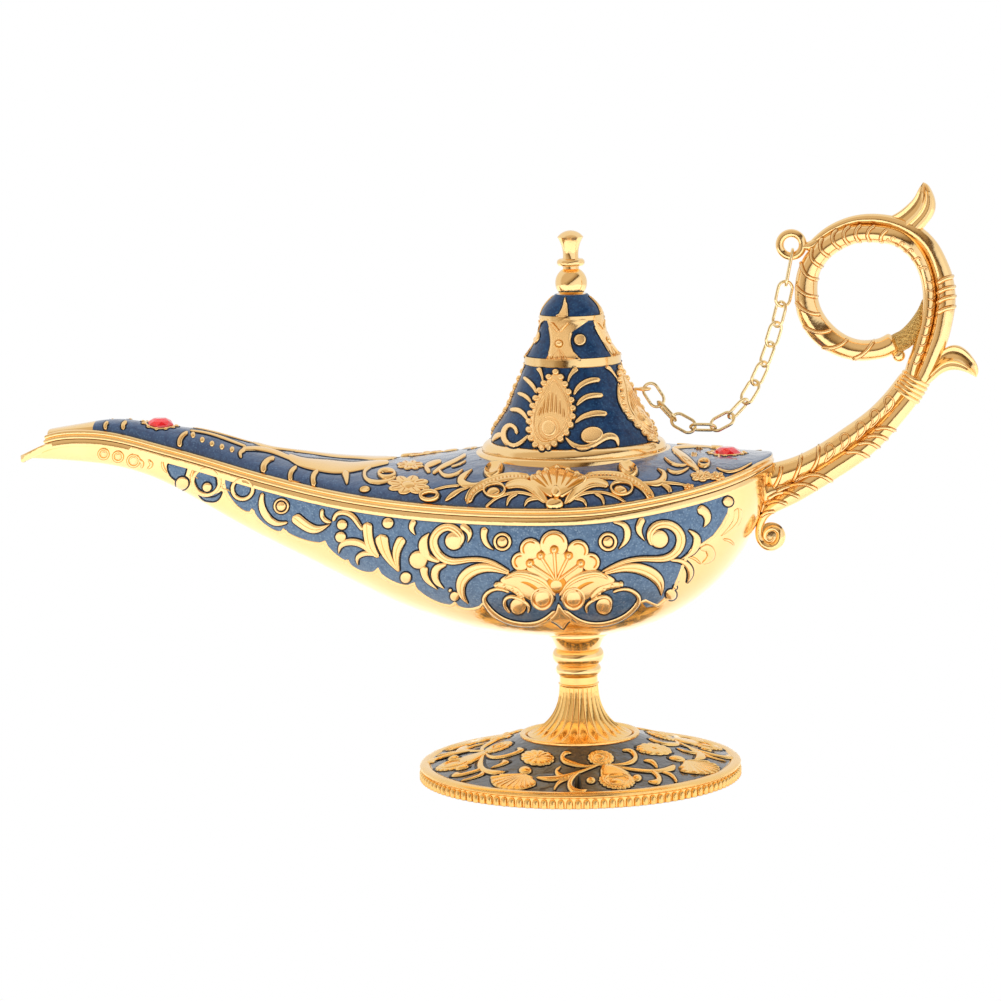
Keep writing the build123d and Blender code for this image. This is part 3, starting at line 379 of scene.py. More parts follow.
def hull_points(x, inset=0.0):
    """A sheet of the bowl under the seam."""
    half, top, deep = hull_section(x, inset)
    return half_ovals(x, 97, half, top, -deep)


def deck_points(x, count, drop=0.0):
    """A sheet of the deck's crown over the rim."""
    half, base, rise = deck_section(x)
    return half_ovals(x, count, half, base - drop, rise)


def oval_level(p, half, start, rise):
    """Zero on sections of this half width and rise, growing outward in about mm."""
    return (np.sqrt((p[:, 1] / half) ** 2 + ((p[:, 2] - start) / rise) ** 2) - 1) * np.minimum(half, rise)


def hull_level(p):
    return oval_level(p, *hull_section(np.clip(p[:, 0], BOWL_START, LEVEL_END)))


def deck_level(p):
    return oval_level(p, *deck_section(np.clip(p[:, 0], DECK_START, LEVEL_END)))


def moulding(shape, first, profile):
    """Carries a profile of (outward, upward) along the seam's closed outline."""
    x = lengthwise(first, 220, 70)
    near = np.stack([x, -half_width(x), seam(x)], -1)
    p = np.concatenate([near, near[::-1] * (1, -1, 1)])
    d = np.roll(p, -1, 0) - np.roll(p, 1, 0)
    n = unit(np.stack([d[:, 1], -d[:, 0], 0 * d[:, 0]], -1))
    prof = np.asarray(profile, float)
    rings = p[:, None, :] + n[:, None, :] * prof[None, :, :1] + np.array([0, 0, 1.0]) * prof[None, :, 1:]
    shape.grid(rings, wrap_rows=True, flip=True)


# Relief: strokes, bosses and rings drawn in pixels of the photograph and cast onto a surface

SINK = 0.14  # mm that a form's foot lies under the surface
SLOPE_STEP = 0.01
# The dark strip round each form is painted shade where it meets the ground, along with the dark patina that gathers
# there
EDGE_PIXELS = 1.3
EDGE_RISE = 0.09
EDGE_SLOPE = 0.15
SAMPLE_PIXELS = 1.3
SAMPLES = (10, 120)
HAIR_PIXELS = 0.25
POINTED_END = 0.06
LOW_SHARE, FULL_PIXELS = 0.45, 9  # narrow strokes stand lower, wide ones reach the full height
LINE_PIXELS = 5  # strokes under this width get a shallower line and rim
LINE_SPREAD, FIELD_SPREAD = 0.2, 0.62
# A line's thread is a dark strip of painted shade in its bottom
THREAD_SHARE, THREAD_PIXELS = 0.17, 0.95
THREAD_RISE = np.array([-0.05, 0.04, 0.04, -0.05])
DISH_SHARE = 0.78


class Skin:
    """A surface that rays are cast onto; level(p) is zero on it and grows outward."""

    def __init__(self, shape, level):
        self.level = level
        self.tree = shape.tree()

    def normal(self, p):
        slope = [self.level(p + s * SLOPE_STEP) - self.level(p - s * SLOPE_STEP) for s in np.eye(3)]
        return unit(np.stack(slope, -1))

    def cast(self, q):
        """Places and normals under pixels, as arrays of the same layout."""
        d = pixel_rays(np.asarray(q, float)[..., :2].reshape(-1, 2))
        start = Vector(eye)
        found = [self.tree.ray_cast(start, Vector(v)) for v in d]
        hit = np.array([f[0] is not None for f in found])
        far = np.array([f[3] if f[0] is not None else np.nan for f in found])
        p = eye + d * np.where(hit, far, CAMERA_DISTANCE)[:, None]
        for i in np.flatnonzero(~hit):
            p[i] = self.tree.find_nearest(Vector(p[i]))[0]
        for _ in range(3):
            f = self.level(p)
            slope = (self.level(p + d * SLOPE_STEP) - f) / SLOPE_STEP
            slope = np.where(np.abs(slope) < 1e-6, 1e-6, slope)
            p = p - d * np.where(hit, np.clip(f / slope, -0.4, 0.4), 0)[:, None]
        return p.reshape(*q.shape[:-1], 3), self.normal(p).reshape(*q.shape[:-1], 3)


class MeshSkin(Skin):
    """A surface of fine faces, taken as they are."""

    def __init__(self, shape):
        self.tree = shape.tree()

    def cast(self, q):
        places, facing = [], []
        for v in pixel_rays(np.asarray(q, float)[..., :2].reshape(-1, 2)):
            spot, n, _, _ = self.tree.ray_cast(Vector(eye), Vector(v))
            if spot is None:
                spot, n, _, _ = self.tree.find_nearest(Vector(eye - v * eye[1] / v[1]))
            places.append(spot)
            facing.append(n)
        return np.array(places).reshape(*q.shape[:-1], 3), np.array(facing).reshape(*q.shape[:-1], 3)


PLAN = 4.4


class PlanSkin(Skin):
    """The deck's crown from above, in PLAN steps to the mm, about as small as the photograph's pixels."""

    def cast(self, q):
        flat = np.asarray(q, float).reshape(-1, 2)
        x, y = flat[:, 0] / PLAN, -flat[:, 1] / PLAN
        half, base, rise = deck_section(x)
        p = np.stack([x, y, base + rise * np.sqrt(np.maximum(1 - (y / half) ** 2, 0.02))], -1)
        return p.reshape(*q.shape[:-1], 3), self.normal(p).reshape(*q.shape[:-1], 3)


class Relief:
    """Raised gold ornament, collected for one skin, with painted shade in dark strips round its edges and in its lines.
    """

    def __init__(self, skin, base=0.0, lift=0.0):
        self.skin, self.base, self.lift = skin, base, lift
        # dark collects the strips of painted shade round the forms, deep the painted shade in their lines
        self.gold, self.dark, self.deep = Shape(), Shape(), Shape()

    def lay(self, shape, q, rise, wrap_rows=False, wrap_cols=False, pole=False):
        """Casts a sheet of pixels onto the skin and raises it in mm; pole closes its first row."""
        p, n = self.skin.cast(q + np.array([0, self.lift]))
        p = p + n * (rise + self.base)[..., None]
        shape.grid(p, wrap_rows, wrap_cols)
        if pole:
            m = p.shape[1]
            shape.add(np.r_[p[0].mean(0)[None], p[0]], [(0, (k + 1) % m + 1, k + 1) for k in range(m)])

    def stroke(self, points, height=0.45, line=0.0, rim=0.0, closed=False, edge=EDGE_PIXELS, sides=9, flat=0.45):
        """A band through rows of x, y, width; line sinks its middle and rim its field."""
        rows = np.asarray(points, float)
        length = run_length(np.r_[rows, rows[:1]] if closed else rows)[-1]
        count = int(np.clip(length / SAMPLE_PIXELS, *SAMPLES))
        path = closed_path(rows, count) if closed else path_through(rows, count)
        w = np.maximum(path[:, 2], HAIR_PIXELS)
        if not closed:
            s = run_length(path)
            for gone in (s, s[-1] - s):
                ease = np.clip(gone / (w / 2), 0, 1)
                w = w * np.maximum(np.sqrt(1 - (1 - ease) ** 2), POINTED_END)
        spots, side = path[:, None, :2], sideways(path, closed)[:, None]
        v = np.sin(np.linspace(-1, 1, sides) * math.pi / 2)
        top = height * np.minimum(1, LOW_SHARE + w / FULL_PIXELS)
        broad = np.minimum(1, w / LINE_PIXELS)[:, None]
        rise = top[:, None] * (1 - v[None] ** 2) ** flat
        rise = rise - line * np.exp(-((v[None] / LINE_SPREAD) ** 2)) * broad
        rise = rise - rim * np.maximum(1 - (v[None] / FIELD_SPREAD) ** 4, 0) * broad
        rise[:, [0, -1]] = -SINK
        self.lay(self.gold, spots + side * (w[:, None] / 2 * v[None])[..., None], rise, wrap_rows=closed)
        if line:
            # painted shade: a dark thread along the bottom of the line
            thread = np.minimum(w * THREAD_SHARE, THREAD_PIXELS)[:, None] * np.linspace(-1, 1, 4)
            groove = top[:, None] - line * broad + THREAD_RISE
            self.lay(self.deep, spots + side * thread[..., None], groove, wrap_rows=closed)
        if edge:
            # painted shade: a dark strip under the band's two edges
            reach = w[:, None] / 2 + edge
            across = np.concatenate([-reach, -reach + EDGE_SLOPE, 0 * reach, reach - EDGE_SLOPE, reach], 1)
            rise = np.tile([-SINK, EDGE_RISE, EDGE_RISE, EDGE_RISE, -SINK], (len(path), 1))
            self.lay(self.dark, spots + side * across[..., None], rise, wrap_rows=closed)

    def patch(self, outline, height, power=2.0, dish=0.0, rays=0, ray=0.12, centre=None, edge=EDGE_PIXELS, rings=8):
        """A raised field inside a closed outline; dish sinks its middle and rays flute it."""
        outline = one_way(np.asarray(outline, float))
        middle = outline.mean(0) if centre is None else np.asarray(centre, float)
        rho = np.sin(np.linspace(0.08, 1, rings) * math.pi / 2)
        rise = height * np.maximum(1 - rho ** power, 0) ** 0.5 - dish * np.maximum(1 - (rho / DISH_SHARE) ** 4, 0)
        rise = np.tile(rise[:, None], (1, len(outline)))
        if rays:
            turn = np.linspace(0, rays, len(outline))
            rise = rise + ray * np.abs(np.sin(turn * math.pi))[None] * (rho * (1 - rho ** 6))[:, None]
        rise[-1] = -SINK
        self.lay(self.gold, middle + (outline - middle)[None] * rho[:, None, None], rise, wrap_cols=True, pole=True)
        if edge:
            # painted shade: a dark strip round the field's edge
            span = np.linalg.norm(outline - middle, axis=1)[:, None]
            grown = middle + (outline - middle) * (1 + edge / np.maximum(span, 0.5))
            q = np.stack([outline * 0.6 + middle * 0.4, outline, grown, grown * 1.001 - middle * 0.001])
            rise = np.tile([[EDGE_RISE], [EDGE_RISE], [EDGE_RISE], [-SINK]], (1, len(outline)))
            self.lay(self.dark, q, rise, wrap_cols=True)

    def boss(self, x, y, rx, ry=None, height=0.5, turn=0.0, **more):
        self.patch(oval(x, y, rx, ry or rx, turn), height, **more)

    def ring(self, x, y, outer, inner, squash=1.0, height=0.4, **more):
        middle = oval(x, y, (outer + inner) / 2, (outer + inner) / 2 * squash)
        self.stroke(with_width(middle, outer - inner), height, closed=True, **more)

    def ball_ring(self, x, y, outer, inner):
        self.ring(x, y, outer, inner + 0.8)
        self.boss(x, y, inner - 0.4, height=0.7)

    def beads(self, points, size, spacing, height):
        """Round beads in a row along a path."""
        rows = np.asarray(points, float)[:, :2]
        for x, y in path_through(rows, max(2, int(run_length(rows)[-1] / spacing) + 1)):
            self.boss(x, y, size, height=height, edge=0, rings=5)

    def pin(self, first, last, between, height):
        """A straight stroke of three rows without an edge; between is its width half way."""
        middle = ((first[0] + last[0]) / 2, (first[1] + last[1]) / 2, between)
        self.stroke([first, middle, last], height, edge=0)


# Materials

GRAIN_SCALE = 2600.0
TARNISH = (0.97, 0.93, 0.86)
MOTTLE_SCALE, FLAKE_SCALE = 900.0, 3600.0
ENAMEL_ROUGH, COAT_ROUGH = 0.35, 0.04


def grey(v):
    return (v, v, v)


def feed(tree, node, links):
    """Joins sockets to a node's inputs, by name or number."""
    for key, source in links.items():
        tree.links.new(source, node.inputs[key])


def add_node(tree, kind, values=None, links=None):
    """A new shader node; values and links go to its inputs, by name or number."""
    node = tree.nodes.new("ShaderNode" + kind)
    for key, value in (values or {}).items():
        node.inputs[key].default_value = value
    feed(tree, node, links or {})
    return node


def mixed(tree, share, first, second):
    """Two colours mixed by a share; each is a socket or a plain colour."""
    node = add_node(tree, "Mix")
    node.data_type = "RGBA"
    for key, source in ((0, share), (6, first), (7, second)):
        if isinstance(source, tuple):
            node.inputs[key].default_value = (*source, 1)
        else:
            tree.links.new(source, node.inputs[key])
    return node.outputs[2]


def node_material(name, values):
    """A material with one principled shader, its node tree and that shader."""
    mat = bpy.data.materials.new(name)
    mat.use_nodes = True
    tree = mat.node_tree
    tree.nodes.clear()
    bsdf = add_node(tree, "BsdfPrincipled", values)
    add_node(tree, "OutputMaterial", links={0: bsdf.outputs[0]})
    return mat, tree, bsdf


def object_noise(tree, scale, detail, rough=0.5):
    coord = add_node(tree, "TexCoord")
    values = {"Scale": scale, "Detail": detail, "Roughness": rough}
    return add_node(tree, "TexNoise", values, {"Vector": coord.outputs["Object"]}).outputs[0]


def ramp(tree, source, stops):
    node = add_node(tree, "ValToRGB", links={0: source})
    el = node.color_ramp.elements
    while len(el) < len(stops):
        el.new(0.5)
    for e, (place, colour) in zip(el, stops):
        e.position = place
        e.color = (*colour, 1)
    return node.outputs[0]


def bump_node(tree, strength, distance, height, **links):
    values = {"Strength": strength, "Distance": distance}
    return add_node(tree, "Bump", values, {"Height": height, **links}).outputs[0]


def gold(name, colour, rough=(0.10, 0.2), bump=0.05, scale=260.0, grain_bump=0.02, metal=1.0):
    """Polished plated casting: soft waves, fine grain and slightly uneven polish."""
    mat, tree, bsdf = node_material(name, {"Metallic": metal})
    wave, fine = object_noise(tree, scale, 3.0), object_noise(tree, GRAIN_SCALE, 2.0)
    darker = tuple(c * f for c, f in zip(colour, TARNISH))
    waves = bump_node(tree, bump, 0.002, wave)
    feed(tree, bsdf, {
        "Base Color": ramp(tree, object_noise(tree, scale * 0.35, 4.0), [(0.3, darker), (0.7, colour)]),
        "Roughness": ramp(tree, wave, [(0.3, grey(rough[0])), (0.75, grey(rough[1]))]),
        "Normal": bump_node(tree, grain_bump, 0.0003, fine, Normal=waves),
    })
    return mat


def enamel(name, dark, light, sparkle, metal, coat, bump=0.12, spec=0.4):
    """Fired enamel: mottled pearly colour under a clear glossy coat, with lighter flakes whose glints are painted in.
    """
    mat, tree, bsdf = node_material(name, {
        "Metallic": metal, "Specular IOR Level": spec, "Coat Weight": coat, "Coat Roughness": COAT_ROUGH,
    })
    cloud = object_noise(tree, MOTTLE_SCALE, 5.0, 0.65)
    coord = add_node(tree, "TexCoord")
    # painted glints: a few flakes take the lighter sparkle colour
    flakes = add_node(tree, "TexVoronoi", {"Scale": FLAKE_SCALE}, {"Vector": coord.outputs["Object"]})
    glint = add_node(tree, "SeparateColor", links={0: flakes.outputs["Color"]})
    mask = ramp(tree, glint.outputs[0], [(0.8, grey(0.0)), (0.97, grey(1.0))])
    base = ramp(tree, cloud, [(0.32, dark), (0.62, light)])
    uneven = bump_node(tree, bump, 0.001, object_noise(tree, MOTTLE_SCALE * 0.3, 3.0))
    feed(tree, bsdf, {
        "Base Color": mixed(tree, mask, base, sparkle),
        "Roughness": ramp(tree, cloud, [(0.3, grey(ENAMEL_ROUGH * 0.8)), (0.7, grey(ENAMEL_ROUGH * 1.2))]),
        "Normal": uneven, "Coat Normal": uneven,
    })
    return mat


# The lamp's golds, with their colour, polish and unevenness
gold_body = gold("polished_gold", (1.0, 0.71, 0.35))
gold_relief = gold(
    "relief_gold", (1.0, 0.69, 0.33), rough=(0.15, 0.23), bump=0.015, scale=400.0, grain_bump=0.003, metal=0.8,
)
gold_deck = gold("deck_gold", (1.0, 0.68, 0.31), rough=(0.09, 0.15), bump=0.02, scale=400.0, grain_bump=0.003)
gold_foot = gold("foot_gold", (1.0, 0.66, 0.25), rough=(0.16, 0.26), bump=0.03, scale=400.0)
gold_chain = gold("chain_gold", (0.95, 0.78, 0.46), rough=(0.16, 0.25), scale=900.0)
# Two darker golds are painted shade: one beside the handle's windings, one in the relief's lines and hollows
gold_shade = gold("painted_groove_shade", (0.62, 0.25, 0.05), rough=(0.3, 0.4), scale=900.0)
deep_shade_gold = gold("painted_recess_shade", (0.72, 0.31, 0.05), rough=(0.3, 0.4), bump=0.02, scale=900.0)
gold_rough = gold("hammered_gold", (0.8, 0.55, 0.2), rough=(0.3, 0.5), bump=0.9, scale=1500.0, grain_bump=0.3)

# Its enamels, with their dark and light clouds and the painted glint colour of their flakes
hull_blue = enamel(
    "pearl_blue", (0.028, 0.08, 0.172), (0.088, 0.166, 0.28), (0.15, 0.235, 0.34), metal=0.35, coat=0.5,
)
deck_blue = enamel(
    "slate_blue", (0.01, 0.03, 0.09), (0.022, 0.06, 0.14), (0.04, 0.09, 0.18), metal=0.2, coat=0.9, bump=0.35,
)
cap_blue = enamel(
    "navy_blue", (0.002, 0.014, 0.05), (0.006, 0.035, 0.10), (0.015, 0.06, 0.13), metal=0.1, coat=0.3, bump=0.2,
    spec=0.15,
)
foot_dark = enamel(
    "slate_dark", (0.008, 0.009, 0.012), (0.02, 0.02, 0.022), (0.03, 0.03, 0.034), metal=0.1, coat=0.8, bump=0.35,
)
# Near-black enamels of painted shade, for the strips round the relief on the blue enamel and on the foot
shade_blue = enamel(
    "painted_edge_shade", (0.001, 0.003, 0.008), (0.004, 0.008, 0.018), (0.005, 0.01, 0.02), metal=0.0, coat=0.2, spec=0.1,
)
shade_dark = enamel(
    "painted_foot_shade", (0.004, 0.003, 0.002), (0.01, 0.007, 0.004), (0.012, 0.01, 0.006), metal=0.0, coat=0.2, spec=0.1,
)
steel = node_material("plain_steel", {"Metallic": 1.0, "Base Color": (0.5, 0.5, 0.5, 1), "Roughness": 0.35})[0]
ruby = node_material("red_stone", {
    "Base Color": (0.62, 0.01, 0.02, 1), "Roughness": 0.05, "Coat Weight": 1.0, "Specular IOR Level": 0.8,
})[0]

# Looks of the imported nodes; what isn't listed is a chain link or polished gold
NODE_LOOKS = (
    (hull_blue, ("hull_enamel_near", "hull_enamel_far")), (deck_blue, ("deck_enamel",)),
    (cap_blue, ("cap_skirt_enamel", "cap_upper_enamel", "cap_dome_enamel")), (foot_dark, ("foot_enamel",)),
    (ruby, ("spout_gem", "stern_gem")),
    (steel, ("foot_washer", "foot_screw", "foot_nut", "finial_nut", "handle_screws")),
)
listed = {node: looks for looks, nodes in NODE_LOOKS for node in nodes}
for node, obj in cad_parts.items():
    plain = gold_chain if node.startswith("chain_link") else gold_body
    obj.data.materials.clear()
    obj.data.materials.append(listed.get(node, plain))

# Bowl: outer skin, inner skin and the strip between them at the seam

WALL = 0.9
INNER_RANGE = (-127.9, 43.0)
INNER_HALF = 34
BAND_START = -129.9
SEAM_BAND = [(-0.3, 0.0), (0.16, 0.0), (0.26, -0.12), (0.27, -1.35), (0.17, -1.6), (-0.35, -1.75)]

bowl_x = lengthwise(BOWL_START, 240, 90)
outer = hull_points(bowl_x)
inner = hull_points(np.clip(bowl_x, *INNER_RANGE), WALL)
inner[:, :, 1] = np.clip(inner[:, :, 1], -INNER_HALF, INNER_HALF)
bowl = Shape()
bowl.grid(outer)
bowl.grid(inner, flip=True)
for k in (0, -1):
    bowl.grid(np.stack([outer[:, k], inner[:, k]], 1), flip=(k == 0))
moulding(bowl, BAND_START, SEAM_BAND)
hull_piece = make_piece("hull_shell", bowl, gold_body, "lamp", sharp=40)
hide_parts("hull")

outer_skin = Shape()
outer_skin.grid(outer)
hull_skin = Skin(outer_skin, hull_level)

# Deck: crown with the neck's opening, spout sleeve, rim mouldings and neck collar

NECK = 21.8
ENAMEL_START, SLEEVE_END = -112.0, -111.9
RIM_START = -123.4
UNDER_END, UNDER_DROP = 44.0, 0.6
RIM_ROUNDS = ((0.1, 1.0, 0.34, 0.0), (1.12, 2.0, 0.22, -0.15))  # low, high, outward, start
NECK_COLLAR = [
    (19.4, 71.1), (22.35, 71.1), (22.35, 75.2), (22.2, 75.5), (21.8, 75.7), (20.95, 75.7), (20.9, 74.9), (19.4, 74.9),
]

deck_x = lengthwise(DECK_START, 330, 100)
crown_grid = deck_points(deck_x, 141)
deck_field = Shape()
open_sheet(
    deck_field, crown_grid, lambda c: (np.hypot(c[:, 0], c[:, 1]) > NECK) & (c[:, 0] > ENAMEL_START), flip=True,
)
field_piece = make_piece("deck_enamel_skin", deck_field, deck_blue, "lamp")
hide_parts("deck_enamel")

sleeve = Shape()
open_sheet(sleeve, crown_grid, lambda c: c[:, 0] <= SLEEVE_END, flip=True)
sleeve_piece = make_piece("spout_sleeve_skin", sleeve, gold_body, "lamp")
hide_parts("spout_sleeve")

rim_profile = [(-1.2, 0.1)]
for low, high, out, start in RIM_ROUNDS:
    for a in np.radians(np.linspace(-90, 90, 7)):
        rim_profile.append((start + out * math.cos(a), (low + high) / 2 + (high - low) / 2 * math.sin(a)))
rim = Shape()
moulding(rim, RIM_START, rim_profile + [(-0.5, 2.15), (-1.15, 2.2), (-1.4, 1.6)])
revolve(rim, NECK_COLLAR + NECK_COLLAR[:1], 160)
under = deck_points(np.clip(deck_x, DECK_START, UNDER_END), 61, UNDER_DROP)
open_sheet(rim, under, lambda c: np.hypot(c[:, 0], c[:, 1]) > NECK - 1)
rim_piece = make_piece("deck_rim", rim, gold_body, "lamp", sharp=40)
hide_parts("deck")

# Handle, in pixels of the photograph: strands as rows of x, y, thickness

UPPER_STEM = [
    (772.5, 476.9, 27.4), (794.6, 469.0, 23.5), (814.4, 459.3, 21.7), (833.8, 447.9, 21.7),
    (852.5, 434.2, 20.2), (870.4, 420.3, 18.6), (885.4, 406.0, 18.1), (896.2, 392.8, 16.9), (905.0, 380.0, 15.5),
]
LOWER_STEM = [
    (771.0, 535.9, 1.8), (772.9, 537.7, 3.1), (770.6, 540.5, 3.8), (766.5, 539.2, 4.6),
    (764.7, 535.0, 5.1), (767.0, 530.3, 5.6), (773.4, 528.0, 6.4), (779.3, 531.8, 7.4),
    (779.8, 538.8, 8.4), (775.1, 545.3, 8.9), (767.4, 546.1, 8.7), (761.0, 541.0, 7.9),
    (758.8, 532.4, 7.4), (760.7, 522.9, 7.7), (767.0, 512.0, 10.7), (778.3, 503.1, 15.1),
    (793.6, 493.5, 19.1), (811.4, 482.0, 21.2), (829.3, 470.8, 21.4), (847.8, 458.8, 21.4),
    (865.6, 446.3, 20.4), (882.2, 431.0, 18.9), (896.9, 414.4, 18.1), (909.6, 399.1, 16.9), (916.5, 389.5, 15.5),
]
STEM_ROOT = [
    (754.0, 494.8, 24.2), (767.4, 491.6, 21.7), (780.8, 488.4, 15.3), (794.8, 484.0, 7.7),
]
STEM_FILLET = [(757.0, 499.0, 15.0), (761.0, 504.5, 13.0), (762.8, 511.0, 8.0)]
RING_STRAND = [
    (910.3, 376.2, 14.0), (912.8, 366.4, 13.5), (918.0, 352.4, 13.8), (922.5, 338.4, 13.8),
    (926.2, 324.3, 13.8), (928.7, 310.3, 13.8), (929.7, 296.3, 13.8), (928.4, 282.2, 14.0),
    (924.5, 268.2, 14.6), (918.4, 255.9, 15.7), (908.9, 244.4, 17.7), (896.6, 236.8, 18.5),
    (882.2, 233.8, 18.8), (868.2, 232.9, 18.8), (854.2, 234.0, 19.4), (840.2, 238.8, 20.5),
    (826.8, 246.9, 21.0), (817.0, 256.7, 21.3), (810.0, 268.2, 21.9), (806.8, 280.8, 22.4),
    (806.2, 293.5, 23.0), (807.9, 306.8, 24.1), (812.8, 319.4, 25.0), (821.2, 331.1, 25.3),
    (832.4, 340.5, 24.1), (845.8, 347.2, 22.4), (859.8, 350.3, 21.3), (873.8, 349.6, 20.5),
    (884.3, 347.1, 20.8), (891.8, 343.4, 21.3),
]
OUTER_STRAND = [
    (915.9, 388.9, 13.5), (922.9, 377.0, 15.7), (929.1, 363.6, 16.8), (935.0, 348.9, 18.2),
    (939.8, 335.6, 18.8), (943.1, 321.2, 19.1), (945.4, 307.5, 19.4), (945.9, 292.8, 19.1),
    (943.7, 278.0, 18.5), (938.6, 262.6, 16.8), (932.1, 249.3, 16.0), (921.8, 237.1, 15.2),
    (908.2, 227.8, 14.3), (889.3, 220.9, 11.5), (868.2, 218.8, 10.1), (854.2, 220.2, 9.2),
    (840.2, 224.9, 9.2), (828.9, 230.6, 8.6), (819.1, 237.4, 7.4), (813.2, 241.6, 5.4),
]
RING_WEB = [
    (889.3, 344.7, 15.4), (897.0, 342.9, 19.6), (904.7, 339.1, 19.6), (912.4, 331.4, 18.2),
    (918.0, 320.1, 12.6), (921.5, 308.9, 6.5), (922.7, 299.8, 1.4),
]
EYELET_NECK = [
    (803.6, 246.6, 6.5), (807.6, 246.4, 9.0), (812.0, 245.2, 10.0), (817.0, 241.6, 8.0), (822.0, 237.4, 5.0),
]
VOLUTE_CENTRE = (771.3, 536.2)
VOLUTE_R, VOLUTE_DEEP = 3.2, 0.35
# Windings round the strands, ribs bound over them, and curls, ticks and loops drawn on them; each is a raised ridge
# with painted shade in darker gold beside it
RING_WINDINGS = [
    [(887.9, 229.6), (882.2, 234.5), (880.8, 240.2), (882.9, 243.2)],
    [(875.2, 225.8), (868.9, 230.3), (867.5, 237.3), (871.0, 242.1)],
    [(861.2, 225.0), (856.3, 230.3), (856.0, 237.3), (861.2, 242.5)],
    [(850.3, 225.8), (844.4, 231.7), (844.4, 238.8), (850.0, 244.6)],
    [(837.6, 228.6), (833.1, 234.5), (833.8, 243.0), (841.6, 248.9)],
    [(823.0, 237.3), (820.2, 244.4), (823.3, 252.8), (830.3, 256.6)],
    [(812.4, 247.9), (811.4, 257.0), (816.3, 264.0), (822.8, 267.1)],
    [(800.6, 261.5), (804.4, 272.4), (810.7, 278.0), (818.4, 279.7)],
    [(795.7, 285.8), (801.6, 292.1), (808.6, 295.6), (817.4, 297.3)],
    [(795.7, 301.6), (801.6, 308.2), (810.7, 313.1), (820.8, 314.8)],
    [(803.0, 325.5), (812.1, 330.7), (821.9, 332.3), (832.0, 329.9)],
    [(821.6, 347.6), (831.7, 347.8), (841.6, 344.3), (848.2, 338.8)],
    [(852.5, 359.4), (862.6, 354.1), (869.6, 347.1), (874.1, 340.9)],
]
STEM_WINDINGS = [
    [(781.5, 465.7), (779.5, 476.9), (773.4, 488.7)], [(801.5, 455.0), (798.7, 468.0), (792.6, 482.7)],
    [(818.3, 445.3), (817.2, 460.4), (810.8, 472.9)], [(896.9, 431.9), (886.7, 427.8), (874.6, 430.0)],
    [(889.0, 440.6), (877.8, 435.6), (866.5, 437.4)], [(880.1, 448.6), (868.8, 442.8), (857.3, 444.8)],
    [(869.8, 458.1), (858.6, 452.3), (845.2, 453.0)],
    [(832.9, 482.3), (821.6, 475.9), (806.3, 475.9), (792.9, 482.7)],
    [(817.6, 489.9), (806.3, 484.6), (791.0, 485.9), (776.4, 491.2)],
    [(799.7, 497.1), (788.5, 493.0), (776.4, 493.8), (767.4, 499.3)],
    [(787.4, 504.0), (777.0, 501.2), (766.1, 504.4)], [(775.1, 511.4), (766.8, 512.4), (760.2, 517.1)],
]
BINDING_RIBS = [
    [(937.4, 283.9), (944.0, 279.2), (953.2, 276.9)], [(937.4, 293.8), (944.0, 289.3), (954.9, 287.3)],
    [(937.2, 303.6), (944.0, 298.8), (955.5, 296.7)], [(937.0, 313.8), (944.0, 309.3), (955.2, 306.8)],
]
RING_CURLS = [
    [(888.5, 238.3), (887.1, 239.4), (888.4, 241.1), (890.5, 240.4), (891.3, 237.9), (893.8, 236.8), (895.6, 238.2),
     (894.3, 239.4)],
    [(897.4, 243.0), (896.0, 244.0), (897.0, 245.8), (899.1, 245.4), (900.3, 243.0), (903.0, 242.3), (904.6, 243.9),
     (903.1, 244.9)],
    [(906.0, 249.2), (904.4, 250.0), (905.2, 252.0), (907.4, 251.9), (908.8, 249.7), (911.6, 249.3), (913.0, 251.2),
     (911.4, 251.9)],
    [(914.0, 256.9), (912.3, 257.4), (912.7, 259.5), (914.9, 259.7), (916.7, 257.8), (919.5, 257.9), (920.5, 259.9),
     (918.8, 260.4)],
    [(920.6, 265.5), (918.8, 265.8), (919.0, 267.9), (921.1, 268.4), (923.1, 266.8), (925.9, 267.2), (926.6, 269.4),
     (924.9, 269.6)],
]
RING_TICKS = [
    [(925.7, 280.8), (928.5, 282.2), (934.4, 279.2)], [(927.1, 289.3), (929.9, 290.9), (935.3, 287.2)],
    [(927.7, 298.4), (930.7, 299.8), (935.6, 296.3)], [(926.9, 307.5), (929.9, 309.2), (935.0, 305.4)],
    [(925.7, 316.6), (928.5, 318.0), (933.9, 314.5)], [(923.6, 325.7), (926.6, 327.1), (931.9, 323.5)],
    [(921.2, 334.9), (924.3, 336.4), (929.7, 332.8)], [(918.7, 344.0), (921.5, 345.7), (927.1, 342.0)],
    [(915.9, 353.1), (919.0, 354.9), (924.1, 351.3)], [(913.1, 362.2), (915.9, 364.0), (921.0, 360.5)],
]
STEM_LOOPS = [
    [(824.6, 461.9), (827.1, 455.3), (825.3, 447.9), (827.9, 444.0), (832.7, 445.6), (834.3, 451.2), (831.5, 456.5),
     (825.1, 462.1)],
    [(839.9, 451.4), (842.4, 444.8), (840.6, 437.4), (843.2, 433.6), (848.0, 435.1), (849.6, 440.7), (846.8, 446.1),
     (840.4, 451.7)],
    [(855.6, 439.9), (858.1, 433.3), (856.3, 425.9), (858.9, 422.1), (863.7, 423.6), (865.3, 429.2), (862.4, 434.6),
     (856.1, 440.2)],
    [(869.8, 427.7), (872.4, 421.1), (870.6, 413.7), (873.2, 409.8), (878.0, 411.4), (879.5, 417.0), (876.7, 422.3),
     (870.4, 428.0)],
    [(883.9, 414.2), (886.4, 407.6), (884.6, 400.2), (887.2, 396.3), (892.0, 397.9), (893.6, 403.5), (890.8, 408.8),
     (884.4, 414.4)],
]
